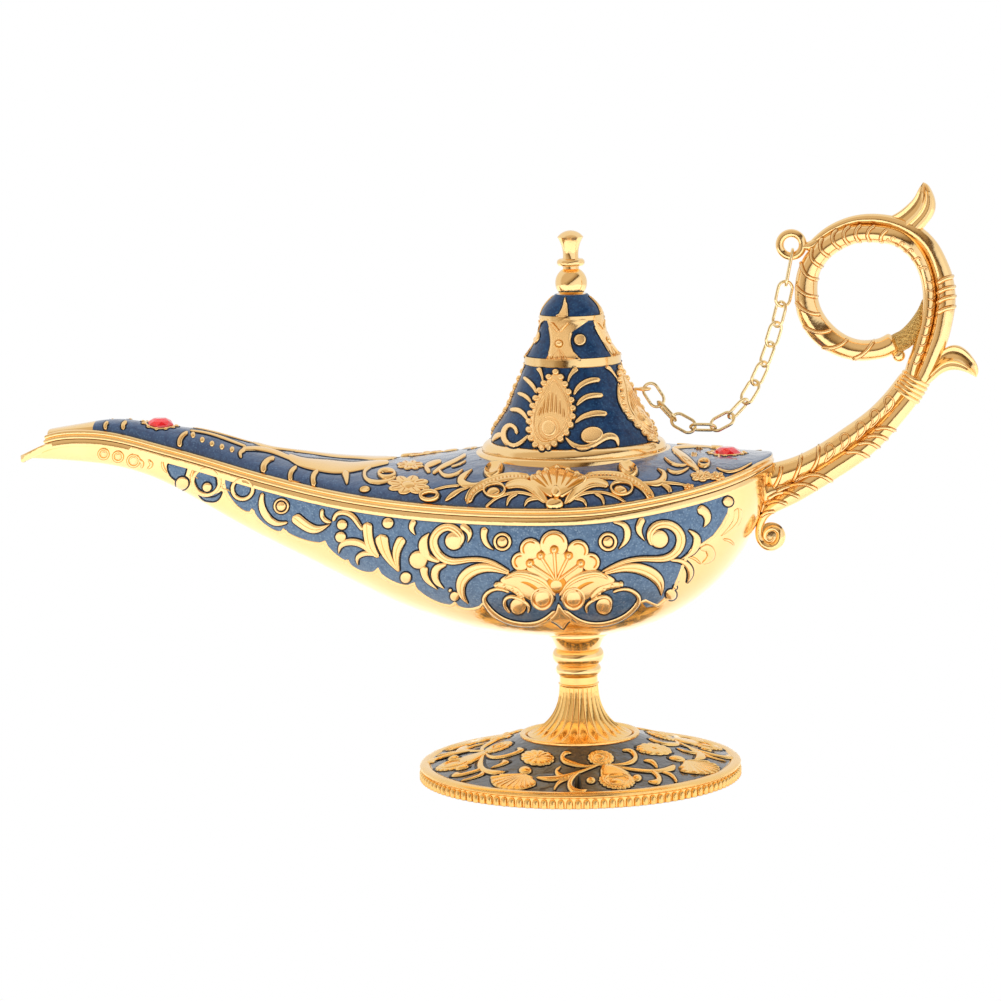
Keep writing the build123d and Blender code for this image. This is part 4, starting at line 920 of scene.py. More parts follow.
HANDLE_STRANDS = (
    (UPPER_STEM, 170), (LOWER_STEM, 430), (STEM_ROOT, 30), (STEM_FILLET, 20), (RING_STRAND, 360), (OUTER_STRAND, 300),
    (EYELET_NECK, 30),
)


def in_plane(rows):
    """Rows of pixels and thickness as x, z and thickness in mm where Y is zero."""
    rows = np.asarray(rows, float)
    d = pixel_rays(rows)
    far = -eye[1] / d[:, 1]
    p = eye + d * far[:, None]
    more = rows[:, 2:] * (far * (d @ forward))[:, None] / FOCAL_PIXELS
    return np.c_[p[:, 0], p[:, 2], more]


def oval_ring(spot, side, high, wide, around):
    """Points round a spot of the handle's plane, high to the side and wide across the lamp."""
    a = np.linspace(0, 2 * math.pi, around, endpoint=False)
    return np.stack([spot[0] + side[0] * high * np.sin(a), -wide * np.cos(a), spot[1] + side[1] * high * np.sin(a)], -1)


def strand(shape, points, count, depth_share=1.3, depth_limit=6.0):
    """A tube of oval section in the plane Y = 0 with rounded ends."""
    p = path_through(points, count)
    d, across = along(p), sideways(p)
    half, depth = p[:, 2] / 2, np.minimum(p[:, 2] * depth_share, depth_limit) / 2
    ends = []
    for k, way in ((0, -0.5), (-1, 0.5)):
        ends.append([
            (p[k, :2] + way * d[k] * half[k] * math.sin(e), half[k] * math.cos(e), depth[k] * math.cos(e), across[k])
            for e in np.linspace(math.pi / 2, 0, 8, endpoint=False)
        ])
    rows = ends[0] + list(zip(p[:, :2], half, depth, across)) + ends[1][::-1]
    rings = [oval_ring(spot, side, max(h, 0.004), max(w, 0.004), 48) for spot, h, w, side in rows]
    shape.grid(np.array(rings), wrap_cols=True, flip=True)


handle = Shape()
for rows, count in HANDLE_STRANDS:
    strand(handle, in_plane(rows), count)
volute_x, volute_z = in_plane([VOLUTE_CENTRE])[0]
turns, tilts = np.linspace(0, 2 * math.pi, 48, endpoint=False), np.linspace(-math.pi / 2, math.pi / 2, 17)
a, e = np.meshgrid(turns, tilts, indexing="ij")
handle.grid(np.stack([
    volute_x + VOLUTE_R * np.cos(e) * np.cos(a), VOLUTE_DEEP * np.sin(e), volute_z + VOLUTE_R * np.cos(e) * np.sin(a),
], -1), wrap_rows=True)
handle_piece = make_piece("handle_strands", handle, gold_body, "lamp", sharp=50)
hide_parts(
    "handle_stem_upper", "handle_stem_lower", "handle_ring_strand", "handle_outer_strand",
    "scroll_volute",
)

wound = Relief(MeshSkin(handle))
for lines, width, height, edge in (
    (RING_WINDINGS + STEM_WINDINGS, 2.9, 0.5, 0.8), (RING_CURLS + RING_TICKS + STEM_LOOPS, 1.5, 0.3, 0.45),
    (BINDING_RIBS, 4.0, 0.6, 0.7),
):
    for rows in lines:
        wound.stroke(with_width(rows, width), height, edge=edge)
make_piece("handle_windings", wound.gold.doubled(), gold_body, "lamp", sharp=60)
# Beside each winding, a strip of painted shade in darker gold
make_piece("handle_groove_shade", wound.dark.doubled(), gold_shade, "lamp")

web = Shape()
strand(web, in_plane(RING_WEB), 80, depth_share=0.9, depth_limit=3.0)
web_piece = make_piece("ring_web", web, gold_rough, "lamp", sharp=50)
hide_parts("handle_web")

# Handle collar: ridges round both strands, as rows of x, y, width in pixels

COLLAR_PATH = [(904.7, 395.2, 33.0), (911.3, 385.7, 31.6), (916.8, 376.4, 30.6)]
COLLAR_DEEP = 3.4
COLLAR_RIDGES = 5
RIDGE_HIGH, RIDGE_LOW, COLLAR_LIP = 0.34, 0.3, 1.2

path = path_through(in_plane(COLLAR_PATH), 101)
place = np.linspace(-1, 1, len(path))
ridges = RIDGE_HIGH * np.abs(np.cos(place * math.pi * COLLAR_RIDGES / 2)) ** 0.6 - RIDGE_LOW
ridges = ridges - COLLAR_LIP * np.clip((np.abs(place) - 0.96) / 0.04, 0, 1) ** 2
rings = [
    oval_ring(spot, side, wide + r, COLLAR_DEEP + r, 72)
    for spot, side, wide, r in zip(path[:, :2], sideways(path), path[:, 2] / 2, ridges)
]
first, last = (ring * 0.02 + ring.mean(0) * 0.98 for ring in (rings[0], rings[-1]))
collar = Shape()
collar.grid(np.array([first, *rings, last]), wrap_cols=True, flip=True)
collar_piece = make_piece("collar_ridges", collar, gold_body, "lamp", sharp=50)
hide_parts("handle_collar")

# Leaves: a hollowed face, a crease and a rounded face between two edges

TOP_LEAF = (
    [(888.6, 217.0), (898.0, 212.1), (906.8, 205.1), (914.5, 196.7), (919.4, 187.5), (923.2, 182.3)],
    [(920.8, 231.7), (927.8, 223.0), (933.0, 215.6), (935.6, 207.9), (935.0, 198.8), (931.4, 189.6),
     (926.4, 183.5), (923.5, 182.3)],
)
SIDE_LEAF = (
    [(929.2, 365.7), (938.4, 354.5), (947.9, 346.5), (955.9, 345.0), (964.6, 348.6), (973.0, 357.5),
     (978.0, 367.1), (978.0, 373.6), (976.4, 377.2)],
    [(922.2, 391.0), (928.5, 384.7), (933.5, 380.5), (941.2, 374.1), (950.3, 370.4), (959.4, 370.4),
     (968.8, 373.4), (976.2, 377.2)],
)
LEAF_ACROSS = [0, 0.01, 0.03, 0.06, 0.1, 0.2, 0.32, 0.44, 0.51, 0.55, 0.59, 0.66, 0.76, 0.87, 0.94, 0.98, 1]
LEAF_HIGH = [0, 0.26, 0.42, 0.5, 0.47, 0.4, 0.44, 0.66, 0.92, 1.05, 0.84, 0.78, 0.9, 0.86, 0.66, 0.36, 0]
LEAF_THICK = 1.9

LEAF_FADE = 3.2


def leaf(shape, left_rows, right_rows):
    left_edge, right_edge = (path_through(in_plane(rows), 60) for rows in (left_rows, right_rows))
    u = (1 - np.cos(np.linspace(0, math.pi, 73))) / 2
    high = np.interp(u, LEAF_ACROSS, LEAF_HIGH)
    fade = np.minimum(1, np.linalg.norm(left_edge - right_edge, axis=1) / LEAF_FADE)[:, None]
    flat = left_edge[:, None] * (1 - u)[None, :, None] + right_edge[:, None] * u[None, :, None]
    for side in (-1, 1):
        p = np.stack([flat[..., 0], side * high[None] * fade * LEAF_THICK, flat[..., 1]], -1)
        shape.grid(p, flip=(side < 0))


leaves = Shape()
leaf(leaves, *TOP_LEAF)
leaf(leaves, *SIDE_LEAF)
leaf_piece = make_piece("handle_leaves", leaves, gold_body, "lamp", sharp=30)
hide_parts("top_leaf", "side_leaf")

# Bowl enamel, near side in pixels: the long field, the small fields on the spout and the field's edge

ENAMEL_RISE = 0.05
FIELD_RANGE = (225.2, 728.3)
STEEP_RANGE = (679, 683)  # where the field's border falls so steeply that it needs more columns
LIP_RANGE = (-110, 44.6)
LIP_OUT, LIP_DROP = 0.15, 1.55
SIDES = (("near", lambda shape: shape), ("far", Shape.mirrored))
# Lower border of the long enamel field: cusps, with the depth of the scallop after each
CUSPS = [
    (224.7, 484, 11), (252.5, 507.7, 9), (283.8, 528.2, 5.3), (324.8, 540.7, 5), (348, 559.5, 8),
    (377.5, 567.5, 8), (413.2, 581.8, 9.3), (455.2, 601.4, 8), (484.6, 600, 18.8), (556, 610, 0.1),
    (565.5, 610.4, 19), (638.8, 598, 0),
]
STERN_BORDER = [
    (646, 607.5), (656.6, 605), (664, 597.5), (673, 588), (679, 582), (680.6, 570), (681.5, 557), (689, 550.5),
    (699, 546), (711.4, 537.3), (722.9, 526), (727.5, 513), (728.6, 503),
]
SPOUT_CELLS = [
    [(168.3, 463.8), (177, 464.6), (186.5, 466.3), (186, 472), (184, 477), (179, 481), (174, 479), (169.5, 474)],
    [(195.6, 471.3), (205, 472), (214.5, 475.5), (216.5, 482), (215.5, 489), (208, 492), (199.5, 489), (195.3, 480)],
    [(197.3, 490.4), (202, 495), (210, 497), (218, 494.5), (221.6, 491.5), (219, 499), (210, 501.5), (201.5, 498)],
]


def flat_field(shape, skin, cell):
    """A smooth enamel field inside a closed outline of pixels; returns the outline it used."""
    outline = one_way(closed_path(cell, 60))
    middle = outline.mean(0)
    rho = np.r_[np.linspace(0.1, 1, 7), 1.0]
    levels = np.full((len(rho), len(outline)), ENAMEL_RISE)
    levels[-1] = -SINK
    Relief(skin).lay(shape, middle + (outline - middle)[None] * rho[:, None, None], levels, wrap_cols=True, pole=True)
    return outline


def edge_strip(relief, shape, path, reach, rise):
    """A strip beside a path; reach is how far to its side each line of points lies, rise how high."""
    q = path[:, None, :2] + sideways(path)[:, None] * reach[None, :, None]
    relief.lay(shape, q, np.tile(rise, (len(path), 1)))


border = []
for (x0, y0, depth), (x1, y1, _) in zip(CUSPS, CUSPS[1:]):
    for u in np.linspace(-1, 1, 24, endpoint=False):
        border.append((x0 + (x1 - x0) * (u + 1) / 2, y0 + (y1 - y0) * (u + 1) / 2 + depth * math.sqrt(1 - u * u)))
border = np.array(border + [CUSPS[-1][:2]] + STERN_BORDER)
field_x = np.unique(np.r_[np.linspace(*FIELD_RANGE, 430), np.linspace(*STEEP_RANGE, 9)])
lip_x = np.linspace(*LIP_RANGE, 300)
lip = project(np.stack([lip_x, -half_width(lip_x) - LIP_OUT, seam(lip_x) - LIP_DROP], -1))
lip = lip[: int(np.argmax(lip[:, 0])) + 1]
field_top = np.interp(field_x, lip[:, 0], lip[:, 1])
field_low = np.maximum(np.interp(field_x, border[:, 0], border[:, 1]), field_top + 0.5)
share = np.r_[0, np.linspace(0, 1, 42), 1.0]
rise = np.full(len(share), ENAMEL_RISE)
rise[[0, -1]] = -SINK
p, n = hull_skin.cast(np.stack([
    field_x[None] * np.ones(len(share))[:, None], field_top + (field_low - field_top) * share[:, None],
], -1))
near_enamel = Shape()
near_enamel.grid(p + n * rise[:, None, None], flip=True)

hull = Relief(hull_skin, ENAMEL_RISE)
for cell in SPOUT_CELLS:
    around = flat_field(near_enamel, hull_skin, cell)
    hull.stroke(with_width(around[::2], 1.0), height=0.1, closed=True, edge=0.35)

field_edge = Relief(hull_skin, ENAMEL_RISE)
edge_dome = 0.2 * np.sin(np.linspace(0, math.pi, 9)) ** 0.6
edge_dome[[0, -1]] = -SINK
edge_rows = border[::2]
# Along the border: a strip of painted shade on the enamel and a low gold lip beside it
for part in np.array_split(np.arange(len(edge_rows)), 9):
    rows = edge_rows[np.r_[part, min(part[-1] + 1, len(edge_rows) - 1)]]
    path = path_through(rows, max(8, len(rows)))
    edge_strip(field_edge, field_edge.dark, path, -np.linspace(-1.3, 1.0, 5), [-SINK, 0.03, 0.03, 0.03, -SINK])
    edge_strip(field_edge, field_edge.gold, path, np.linspace(-0.9, 2.6, 9), edge_dome)

# Bowl ornament, near side in pixels, as rows of x, y, width; mirrored for the far side

HULL_STROKES = [
    [(262.9, 492.5, 3), (262, 505, 6), (267, 516, 7), (277.5, 523, 5), (288, 522, 2)],
    [(323, 508.6, 3), (322.5, 515.7, 4), (327.5, 521, 4), (332, 522, 2)],
    [(333.8, 521, 3), (336.4, 514.8, 4), (345.4, 512.5, 5), (354.3, 517.5, 5), (360.5, 526.4, 4), (363.2, 530, 3)],
    [(339, 553.2, 0), (341.8, 545, 5), (352.5, 541.6, 7), (365, 546, 6), (372, 553, 3)],
    [(358.7, 564.8, 0), (357.9, 557.7, 4), (365, 553.2, 5), (375.7, 555, 2)],
    [(415, 519.5, 6), (412, 528, 5), (416, 535, 0)],
    [(430, 532.7, 0), (424, 540.7, 8), (425.7, 553.2, 8), (440, 561.2, 3)],
    [(424, 565.7, 9), (425.7, 576.4, 6), (438.2, 589, 0)],
    [(447, 564, 3), (436.4, 569.3, 8), (436.4, 580, 6), (444.5, 588, 0)],
    [(461, 524.6, 7), (470, 533.6, 5), (467.7, 542.5, 0)],
    [(485.5, 527, 8), (484, 535, 6), (488, 545, 4), (494.5, 549.6, 0)],
    [(612.9, 522, 2), (625.4, 526.4, 6), (627, 537, 6), (618.2, 548.8, 0)],
    [(643.2, 517.5, 7), (638.8, 530, 6), (645, 540.7, 0)],
    [(687.9, 529.7, 1), (696.5, 538, 7), (694, 549, 6), (680, 559, 0)],
    [(697, 508.5, 10), (705, 512.5, 9), (707, 519.5, 6), (703, 527, 0)],
    [(670, 560, 2), (683.4, 562, 5), (690, 571, 6), (686.5, 583, 0)],
]
LINED_STROKES = [
    [(293.6, 515.7, 11), (302.5, 522.9, 10), (315, 529, 8), (331, 523.5, 0)],
    [(367.7, 522, 10), (368.6, 537, 9), (374, 551.4, 7), (379.3, 556.8, 3)],
    [(381, 534, 14), (385, 550, 10), (399, 571, 1)],
    [(403.4, 537, 10), (397, 551.4, 8), (399.8, 571, 1)],
    [(509.6, 572.9, 3), (490, 567.5, 8), (472, 571, 11), (461.4, 583.6, 10), (463.2, 596, 5), (468.6, 603.2, 0)],
    [(604, 572.9, 3), (625.4, 567.5, 8), (646.8, 571, 11), (659.3, 581.8, 9), (661, 595, 0)],
    [(504.8, 578, 2), (516.4, 572.9, 6), (530.7, 574.6, 8), (545, 581.8, 7), (555.7, 594.3, 2)],
    [(608.4, 578, 2), (598.6, 572.9, 6), (586, 573.8, 8), (571.8, 580, 7), (559.3, 594.3, 2)],
]
VOLUTES = [
    [(458.5, 546, 4), (462, 538, 6), (457, 530.5, 7.5), (449, 527, 7.5), (440, 530, 8), (433.8, 540.7, 8),
     (438.2, 553.2, 8), (449, 560.4, 7), (468.6, 559.5, 5), (490, 561.2, 4), (509.6, 571, 1.5)],
    [(652, 545, 4), (649.5, 536, 6), (654, 527, 7.5), (663, 524, 8), (672, 526, 8.5), (680, 535, 9),
     (679, 547, 8.5), (668.2, 556.8, 7), (646.8, 558.5, 5), (625.4, 561, 4), (602, 571, 1.5)],
]
PETAL_CIRCLES = [(520.9, 561.3, 9.3), (530.7, 548.8, 10.7), (553.9, 544.3, 14), (578, 550.5, 10.7), (590.5, 562, 9.3)]
FAN_MIDDLE = (555.5, 574)
FAN_ROOT = (556.6, 580)
FAN_GROUND = (555, 571, 29, 20)
FAN_BUTTON = (556.6, 583)
PINS = [(530.4, 562.5), (541, 555), (554.3, 549.3), (568.8, 555), (580.7, 562.5)]
# Beside the fan, drawn for the left and turned about the hull's middle: wing, its shade, band of beads, hook
HULL_MIDDLE = 557.6
WING = [
    (500, 580), (506, 575.2), (515.1, 572.2), (528.5, 572.9), (540.6, 577.8), (548.3, 584.8), (553.7, 593.8),
    (554.6, 600), (545.4, 599), (533, 600), (526, 597), (520, 590.5), (510, 584.5),
]
WING_SHADE = [(512, 581.5, 1), (522, 580.6, 3.5), (532, 584, 6), (540, 590, 6)]
BEAD_BAND = [(493.8, 584.4, 5), (503, 584.8, 6.6), (512, 587.6, 6.6), (519, 592.6, 6), (524, 598.6, 4.6)]
BALL_HOOK = [
    (510.4, 612, 1.6), (505.6, 606, 3), (505, 599.6, 3.4), (509.6, 596, 3.2), (517, 597, 2.8), (524.5, 601, 2.8),
    (529, 606, 3), (528, 612, 1.6),
]
BALL_RINGS = [(502.5, 541.6, 9, 5.5), (607.9, 541.6, 9.3, 5.5), (281.6, 506, 7.7, 5)]
SCROLL_RING, CELL_RING = (242.9, 488.7, 12, 8.4), (206.4, 481.5, 15.2, 11.6)
EYES = [(542.3, 597), (573.6, 597)]
BALLS = [
    (454.3, 540.7, 9), (659, 538.9, 9), (418.6, 559.5, 9), (388.2, 522.9, 5.4), (406, 577.3, 5.4), (342.3, 524.6, 5),
    (340.9, 536.8, 5.3), (454.8, 596, 4.5), (450.4, 590, 1.6), (518.2, 606, 8), (603.9, 606, 8), (670.9, 594.3, 5.4),
    (674.8, 587, 1.8), (727.8, 501.5, 5), (182.4, 483, 6.3), (207.3, 487, 4.5),
]
LOBES = [
    [(509.3, 591.6, 2), (495, 589, 3), (484.3, 597.9, 4), (489.6, 608.6, 4), (504, 619.3, 4), (521.8, 623.8, 4),
     (541.4, 621, 4), (554.8, 610.4, 3)],
    [(612.9, 591.6, 2), (627, 589, 3), (638.8, 597.9, 4), (633.4, 608.6, 4), (618.2, 619.3, 4), (600.4, 623.8, 4),
     (580.7, 621, 4), (565.5, 610.4, 3)],
]
DROP = [
    (563.8, 628.2), (556, 623), (549.5, 619.3), (555, 612), (558.4, 603.2), (564.5, 611), (571.8, 619.3), (567, 623),
]
WING_BEADS = [
    (496.8, 584, 2.5), (504.8, 585, 2.3), (512.9, 588, 2), (518.2, 591.6, 1.8), (521.8, 595.2, 1.5),
    (524.5, 598.8, 1.2), (620.9, 583.2, 2.5), (612, 584.5, 2.3), (604, 588, 2), (599.5, 591.6, 1.8),
    (596, 595.2, 1.5), (593.2, 598.8, 1.2),
]
# hull_lines: painted shade in darker gold, laid under and round the bright forms, under the wing and in the petals
hull_lines = Relief(hull_skin, ENAMEL_RISE)
for rows in HULL_STROKES + LOBES:
    hull.stroke(rows, 0.5)
for rows in LINED_STROKES:
    hull.stroke(rows, 0.55, line=0.22, sides=13)
for rows in VOLUTES:
    hull.stroke(rows, 0.55, line=0.2, sides=13)
for rows in LINED_STROKES[-2:]:
    hull.stroke(rows, 0.95, line=0.25, sides=13, edge=0)

hull.boss(*FAN_GROUND, height=0.42, power=8, edge=0)
for x, y, r in PETAL_CIRCLES:
    hull.boss(x, y, r, height=0.35, dish=0.2, power=8)
    turns = math.atan2(y - FAN_MIDDLE[1], x - FAN_MIDDLE[0]) + np.linspace(-1.45, 1.45, 9)
    arc = np.stack([x + (r - 3.4) * np.cos(turns), y + (r - 3.4) * np.sin(turns)], 1)
    hull_lines.stroke(with_width(arc, 2.0), 0.8, edge=0)
for x, y in PINS:
    hull_lines.boss(x, y, 4.6, height=0.62, power=8, edge=0)
    hull_lines.pin((x, y, 4.6), (*FAN_ROOT, 4.2), 5.0, 0.62)
    hull.pin((x, y, 2.8), (*FAN_ROOT, 2.4), 3.2, 1.1)
    hull.boss(x, y, 3.2, height=1.0, edge=0)
hull_lines.boss(*FAN_BUTTON, 10.6, 9.2, height=0.8, power=8, edge=0)
hull.boss(*FAN_BUTTON, 9.3, 8, height=1.0, edge=0)


def left_and_right(rows):
    """Rows drawn for the left of the fan, and the same turned about the hull's middle."""
    return rows, [(2 * HULL_MIDDLE - x, *more) for x, *more in rows]


for rows in left_and_right(WING):
    hull.patch(closed_path(rows, 48), height=0.5, power=10)
for rows in left_and_right(WING_SHADE):
    hull_lines.stroke(rows, 0.62, edge=0)
for rows in left_and_right(BEAD_BAND):
    hull.stroke(rows, 0.45)
for rows in left_and_right(BALL_HOOK):
    hull.stroke(rows, 0.75)
for row in BALL_RINGS:
    hull.ball_ring(*row)
for x, y in EYES:
    hull.ring(x, y, 11.8, 8.6, height=0.95, edge=0.9)
    hull_lines.boss(x, y, 9.2, height=0.5, power=8, edge=0)
    hull.boss(x, y, 8.0, height=1.1, edge=0)
for x, y, r in BALLS:
    hull.boss(x, y, r, height=0.32 + 0.03 * r)
hull.ring(*SCROLL_RING)
hull.ring(*CELL_RING, height=0.3, edge=0)
hull.patch(closed_path(DROP, 30), height=0.6)
for x, y, r in WING_BEADS:
    hull.boss(x, y, r, height=0.8, edge=0.8)

# Low relief on the bare gold: rings and tails on the spout, leaves at the stern

SPOUT_RINGS = [(103.6, 454, 5), (118, 456.6, 5), (133.5, 460.7, 6)]
TAILS = [
    [(138, 459, 1.5), (142.5, 463.5, 2.6), (141, 468.5, 0.5)], [(148, 459.5, 1), (151.5, 464.5, 3), (147, 469, 0.5)],
    [(162.3, 460.5, 1), (163, 466.5, 2), (167, 473, 0.5)], [(722.9, 539.3, 1), (730, 541, 2), (734.4, 545.5, 0.5)],
    [(700, 549.5, 3), (708, 548.5, 8), (711, 555.5, 8), (702, 563.5, 1.5)],
    [(688.5, 556.5, 1), (695, 559, 2), (701, 564.5, 0.5)], [(194, 468, 1), (191.5, 479, 2), (196, 489, 0.5)],
]
STERN_LEAF = [(738, 508, 9), (737.5, 519, 8), (730, 529, 5), (721, 536, 0)]
# bare_lines: wider strips of painted shade in darker gold under the bright rings and tails
bare, bare_lines = Relief(hull_skin), Relief(hull_skin)
for x, y, r in SPOUT_RINGS:
    bare_lines.ring(x, y, r + 1.3, r - 1.8, height=0.12, edge=0)
    bare.ring(x, y, r + 0.5, r - 1.0, height=0.26, edge=0)
    bare.boss(x, y, r - 2.4, height=0.2, edge=0)
for rows in TAILS:
    bare_lines.stroke([(x, y, w + 1.4) for x, y, w in rows], 0.12, edge=0)
    bare.stroke(rows, 0.32, edge=0)
bare.stroke(STERN_LEAF, 0.25, line=0.12, sides=13, edge=0)

# The darker gold pieces are painted shade: threads in the lines and dark forms under the bright ones
near_gold = Shape().join(hull.gold).join(bare.gold).join(field_edge.gold)
near_dark = Shape().join(hull.dark).join(field_edge.dark)
near_shade_lines = Shape().join(hull.deep).join(bare.deep).join(hull_lines.gold).join(bare_lines.gold)
# The enamel-coloured strips and the darker gold pieces on each side are painted shade
for side_name, build in SIDES:
    field = make_piece(f"hull_enamel_{side_name}_skin", build(near_enamel), hull_blue, "lamp")
    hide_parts(f"hull_enamel_{side_name}")
    make_piece(f"hull_relief_{side_name}", build(near_gold), gold_relief, "lamp", sharp=60)
    make_piece(f"hull_edge_shade_{side_name}", build(near_dark), shade_blue, "lamp")
    make_piece(f"hull_shade_in_lines_{side_name}", build(near_shade_lines), deep_shade_gold, "lamp", sharp=60)

# Deck ornament, near side in pixels, as rows of x, y, width; mirrored for the far side

LOBE_BANDS = [
    [(529.5, 477.3, 6), (513.2, 476, 7.5), (495.9, 479, 7.5), (481.8, 485.1, 8), (471.6, 493.1, 8), (468.1, 502, 8)],
    [(585.9, 476, 6), (602.1, 474.7, 7.5), (619.5, 475.8, 7.5), (634.7, 481, 8), (645.5, 488.8, 8), (650.5, 497, 8),
     (649.8, 503, 6)],
]
LOBE_PETALS = [
    [(505.6, 486.6, 5.4), (515.4, 483.4, 7.8), (526.2, 484, 9.8), (536, 489.9, 9.5), (543.6, 497.5, 6.5),
     (548.4, 503, 2.6)],
    [(608.6, 485.5, 5.4), (598.9, 482.3, 7.8), (588, 483.4, 9.8), (577.2, 489.9, 9.5), (569.6, 497.5, 6.5),
     (564.8, 503, 2.6)],
]
DECK_STROKES = [
    [(486, 506, 3), (495.9, 497.8, 2.8), (506.7, 493.3, 2.8), (518, 491.6, 2.8), (530.6, 494, 2.8), (545, 502, 2)],
    [(568, 502, 2), (580.5, 494, 2.8), (593.5, 491.3, 2.8), (606.5, 492.3, 2.8), (619.5, 497.5, 2.8), (631, 505, 3)],
    [(518, 493, 2), (509.5, 497.5, 3.6), (507, 505, 1.2)], [(539, 498, 2), (527.5, 500, 3.6), (524.6, 505.5, 1.2)],
    [(574, 498, 2), (584, 500, 3.6), (586.6, 505.5, 1.2)], [(594, 492.5, 2), (602, 497, 3.6), (603.9, 504.5, 1.2)],
    [(472.5, 468.5, 1), (465.5, 474, 5), (461, 480, 8), (469, 484, 5), (481, 482, 2)],
    [(470, 486.5, 1), (461, 489, 3), (452, 494.5, 4.5), (445.5, 500, 2)],
    [(459.8, 484.8, 2), (446, 486, 2), (433.5, 489.5, 2)],
    [(657, 468, 1), (664, 474, 6), (661.5, 480, 7), (650, 482.5, 4), (640, 482, 2)],
    [(648, 483, 1.5), (660, 482, 2.5), (674, 482.5, 2.5), (689, 485, 1.5)],
    [(661, 483.5, 2), (669, 488, 5), (670.5, 494, 2)],
    [(439, 468.6, 3), (442.5, 473.5, 3.4), (449.6, 475, 3.4), (456.8, 473, 3), (463, 468.6, 2)],
    [(441.6, 460, 3), (433.6, 462.3, 5), (426.5, 466.8, 5), (430.5, 471.8, 4)],
    [(432.7, 473, 3), (442.5, 465.9, 4), (455.9, 459.6, 4), (466, 453.4, 3)],
    [(451.4, 466, 1.5), (460.4, 463.2, 2), (466, 460, 1.5)],
    [(371.6, 465.7, 2), (364.8, 470.8, 3.5), (365.5, 477, 3.8), (373.7, 481, 4), (386, 480.4, 3.6), (396, 476, 2)],
    [(274.7, 457, 4), (267.6, 459.6, 5), (263.5, 465.7, 6), (264.5, 471.5, 6)],
    [(297, 465.7, 3), (292.5, 469.3, 4.5), (290.3, 475.5, 4.5), (291.5, 480, 4.5)],
    [(318.6, 469.4, 3), (314.3, 473.5, 5), (313.3, 480, 5), (315, 485, 5)],
    [(188, 431, 3), (182, 435.6, 4.5), (179.7, 441, 5), (180.5, 446, 5)],
    [(127, 420.6, 3), (123.4, 423.6, 4.2), (123.8, 428.8, 4)],
    [(108.5, 421, 3), (105.4, 424.2, 3.8), (106.3, 428.6, 3.6)],
    [(246, 448.6, 3), (240.3, 452, 4), (241.5, 457.5, 2)],
    [(242, 448, 3.5), (256, 447.6, 4), (271, 450, 4), (284, 454.6, 4), (296, 460, 3)],
    [(288, 455, 5), (300, 460.5, 9), (318, 464, 12), (336, 466, 13), (352, 466, 10), (370, 463.5, 7), (389, 461, 3)],
    [(345, 470, 9), (346.3, 477, 5.5), (347, 484, 1.5)],
    [(672, 447.5, 3), (682, 455, 7), (691, 463, 7), (699, 470, 3)],
    [(664.2, 456.5, 1.5), (671, 462, 3), (678, 464.5, 3), (687, 464, 1.5)],
    [(666.8, 468.2, 1.5), (673, 471.5, 3), (680, 471.3, 3), (689, 467, 1.5)],
    [(716.5, 467, 1.2), (728, 470.8, 2), (742, 467.4, 2), (752, 462, 1.2)],
]
DECK_RINGS = [
    (494.8, 489.6, 11.8, 9, 0.62), (621.6, 487.8, 12, 9.2, 0.6), (387, 473.6, 9.6, 6.6, 0.45),
    (430, 495, 10.5, 6.5, 0.46), (703.8, 462.7, 6.5, 4.2, 0.6),
]
RING_BOSSES = [(493.5, 491.4, 6.8, 4, -12), (620.6, 489.6, 6.8, 3.8, 12)]
HOLLOW_OVALS = [(493.8, 470, 10.4, 6.4, -25), (628.2, 469.6, 10.4, 6.4, 20)]
LEAF_BUD = (365, 488.4, 5.2, 2.8)
# Flowers: x, y, half sizes and petals; a petal's place and length are shares of the flower's size
FLOWERS = [
    (408.6, 484.2, 22, 9.6, 8), (410.4, 464.6, 14, 4.4, 8), (701, 475.4, 11, 5.5, 6), (716.5, 475.6, 8, 4.2, 6),
    (688.5, 486, 6, 3, 6),
]
PETAL_AT, PETAL_LONG, PETAL_SHARE = 0.63, 0.37, 2.2
FLOWER_TURN = 0.3
FAN = [
    (550, 496.8), (543.6, 493), (536, 488), (529.5, 482), (530, 477), (533, 474.4), (538, 474), (541, 471),
    (545, 469.6), (549, 467.4), (553, 465.4), (558, 464.8), (563, 465.4), (567.4, 467.4), (571, 469.6), (575, 471),
    (579, 473.5), (584, 474.4), (588, 478), (585, 483), (577, 488), (571.8, 492), (563, 496.8),
]
FAN_CENTRE = (557, 484)
FAN_TIPS = [(533.5, 479), (539.5, 475), (547, 471.5), (557.5, 469), (568, 471.5), (577, 475.5), (584, 479.5)]
FAN_FOOT = (556.6, 491)
FAN_STEM = [(556.6, 488, 16), (556.3, 493, 16), (555.6, 498, 15)]
FAN_BALL = (554.6, 503, 9.4, 5.8)
TIP_LINE = [(190, 429.5, 1.6), (207, 432, 2), (226, 438, 2.4), (246, 445.5, 2)]
TIP_BEADS = [(193, 434), (206.4, 440.6), (217.2, 444.4), (232, 448.5)]


def flower(x, y, rx, ry, petals):
    """Separate round petals about a button, each with a rib of painted shade in darker gold along it."""
    for turn in np.linspace(FLOWER_TURN, FLOWER_TURN + 2 * math.pi, petals, endpoint=False):
        out, across = np.array([math.cos(turn), math.sin(turn)]), np.array([-math.sin(turn), math.cos(turn)])
        petal = PETAL_AT * out + oval(0, 0, 1, 1) @ np.array([PETAL_LONG * out, PETAL_SHARE / petals * across])
        deck.patch([x, y] + petal * [rx, ry], height=0.5, power=5, edge=0.7)
        rib = [[x, y] + share * out * [rx, ry] for share in (0.4, 0.62, 0.84)]
        deck_lines.stroke(with_width(rib, 1.1), 1.05, edge=0)
    deck.boss(x, y, rx * 0.33, ry * 0.36, height=0.8, edge=0.5)


crown_skin = Shape()
crown_skin.grid(crown_grid, flip=True)
deck_skin = Skin(crown_skin, deck_level)
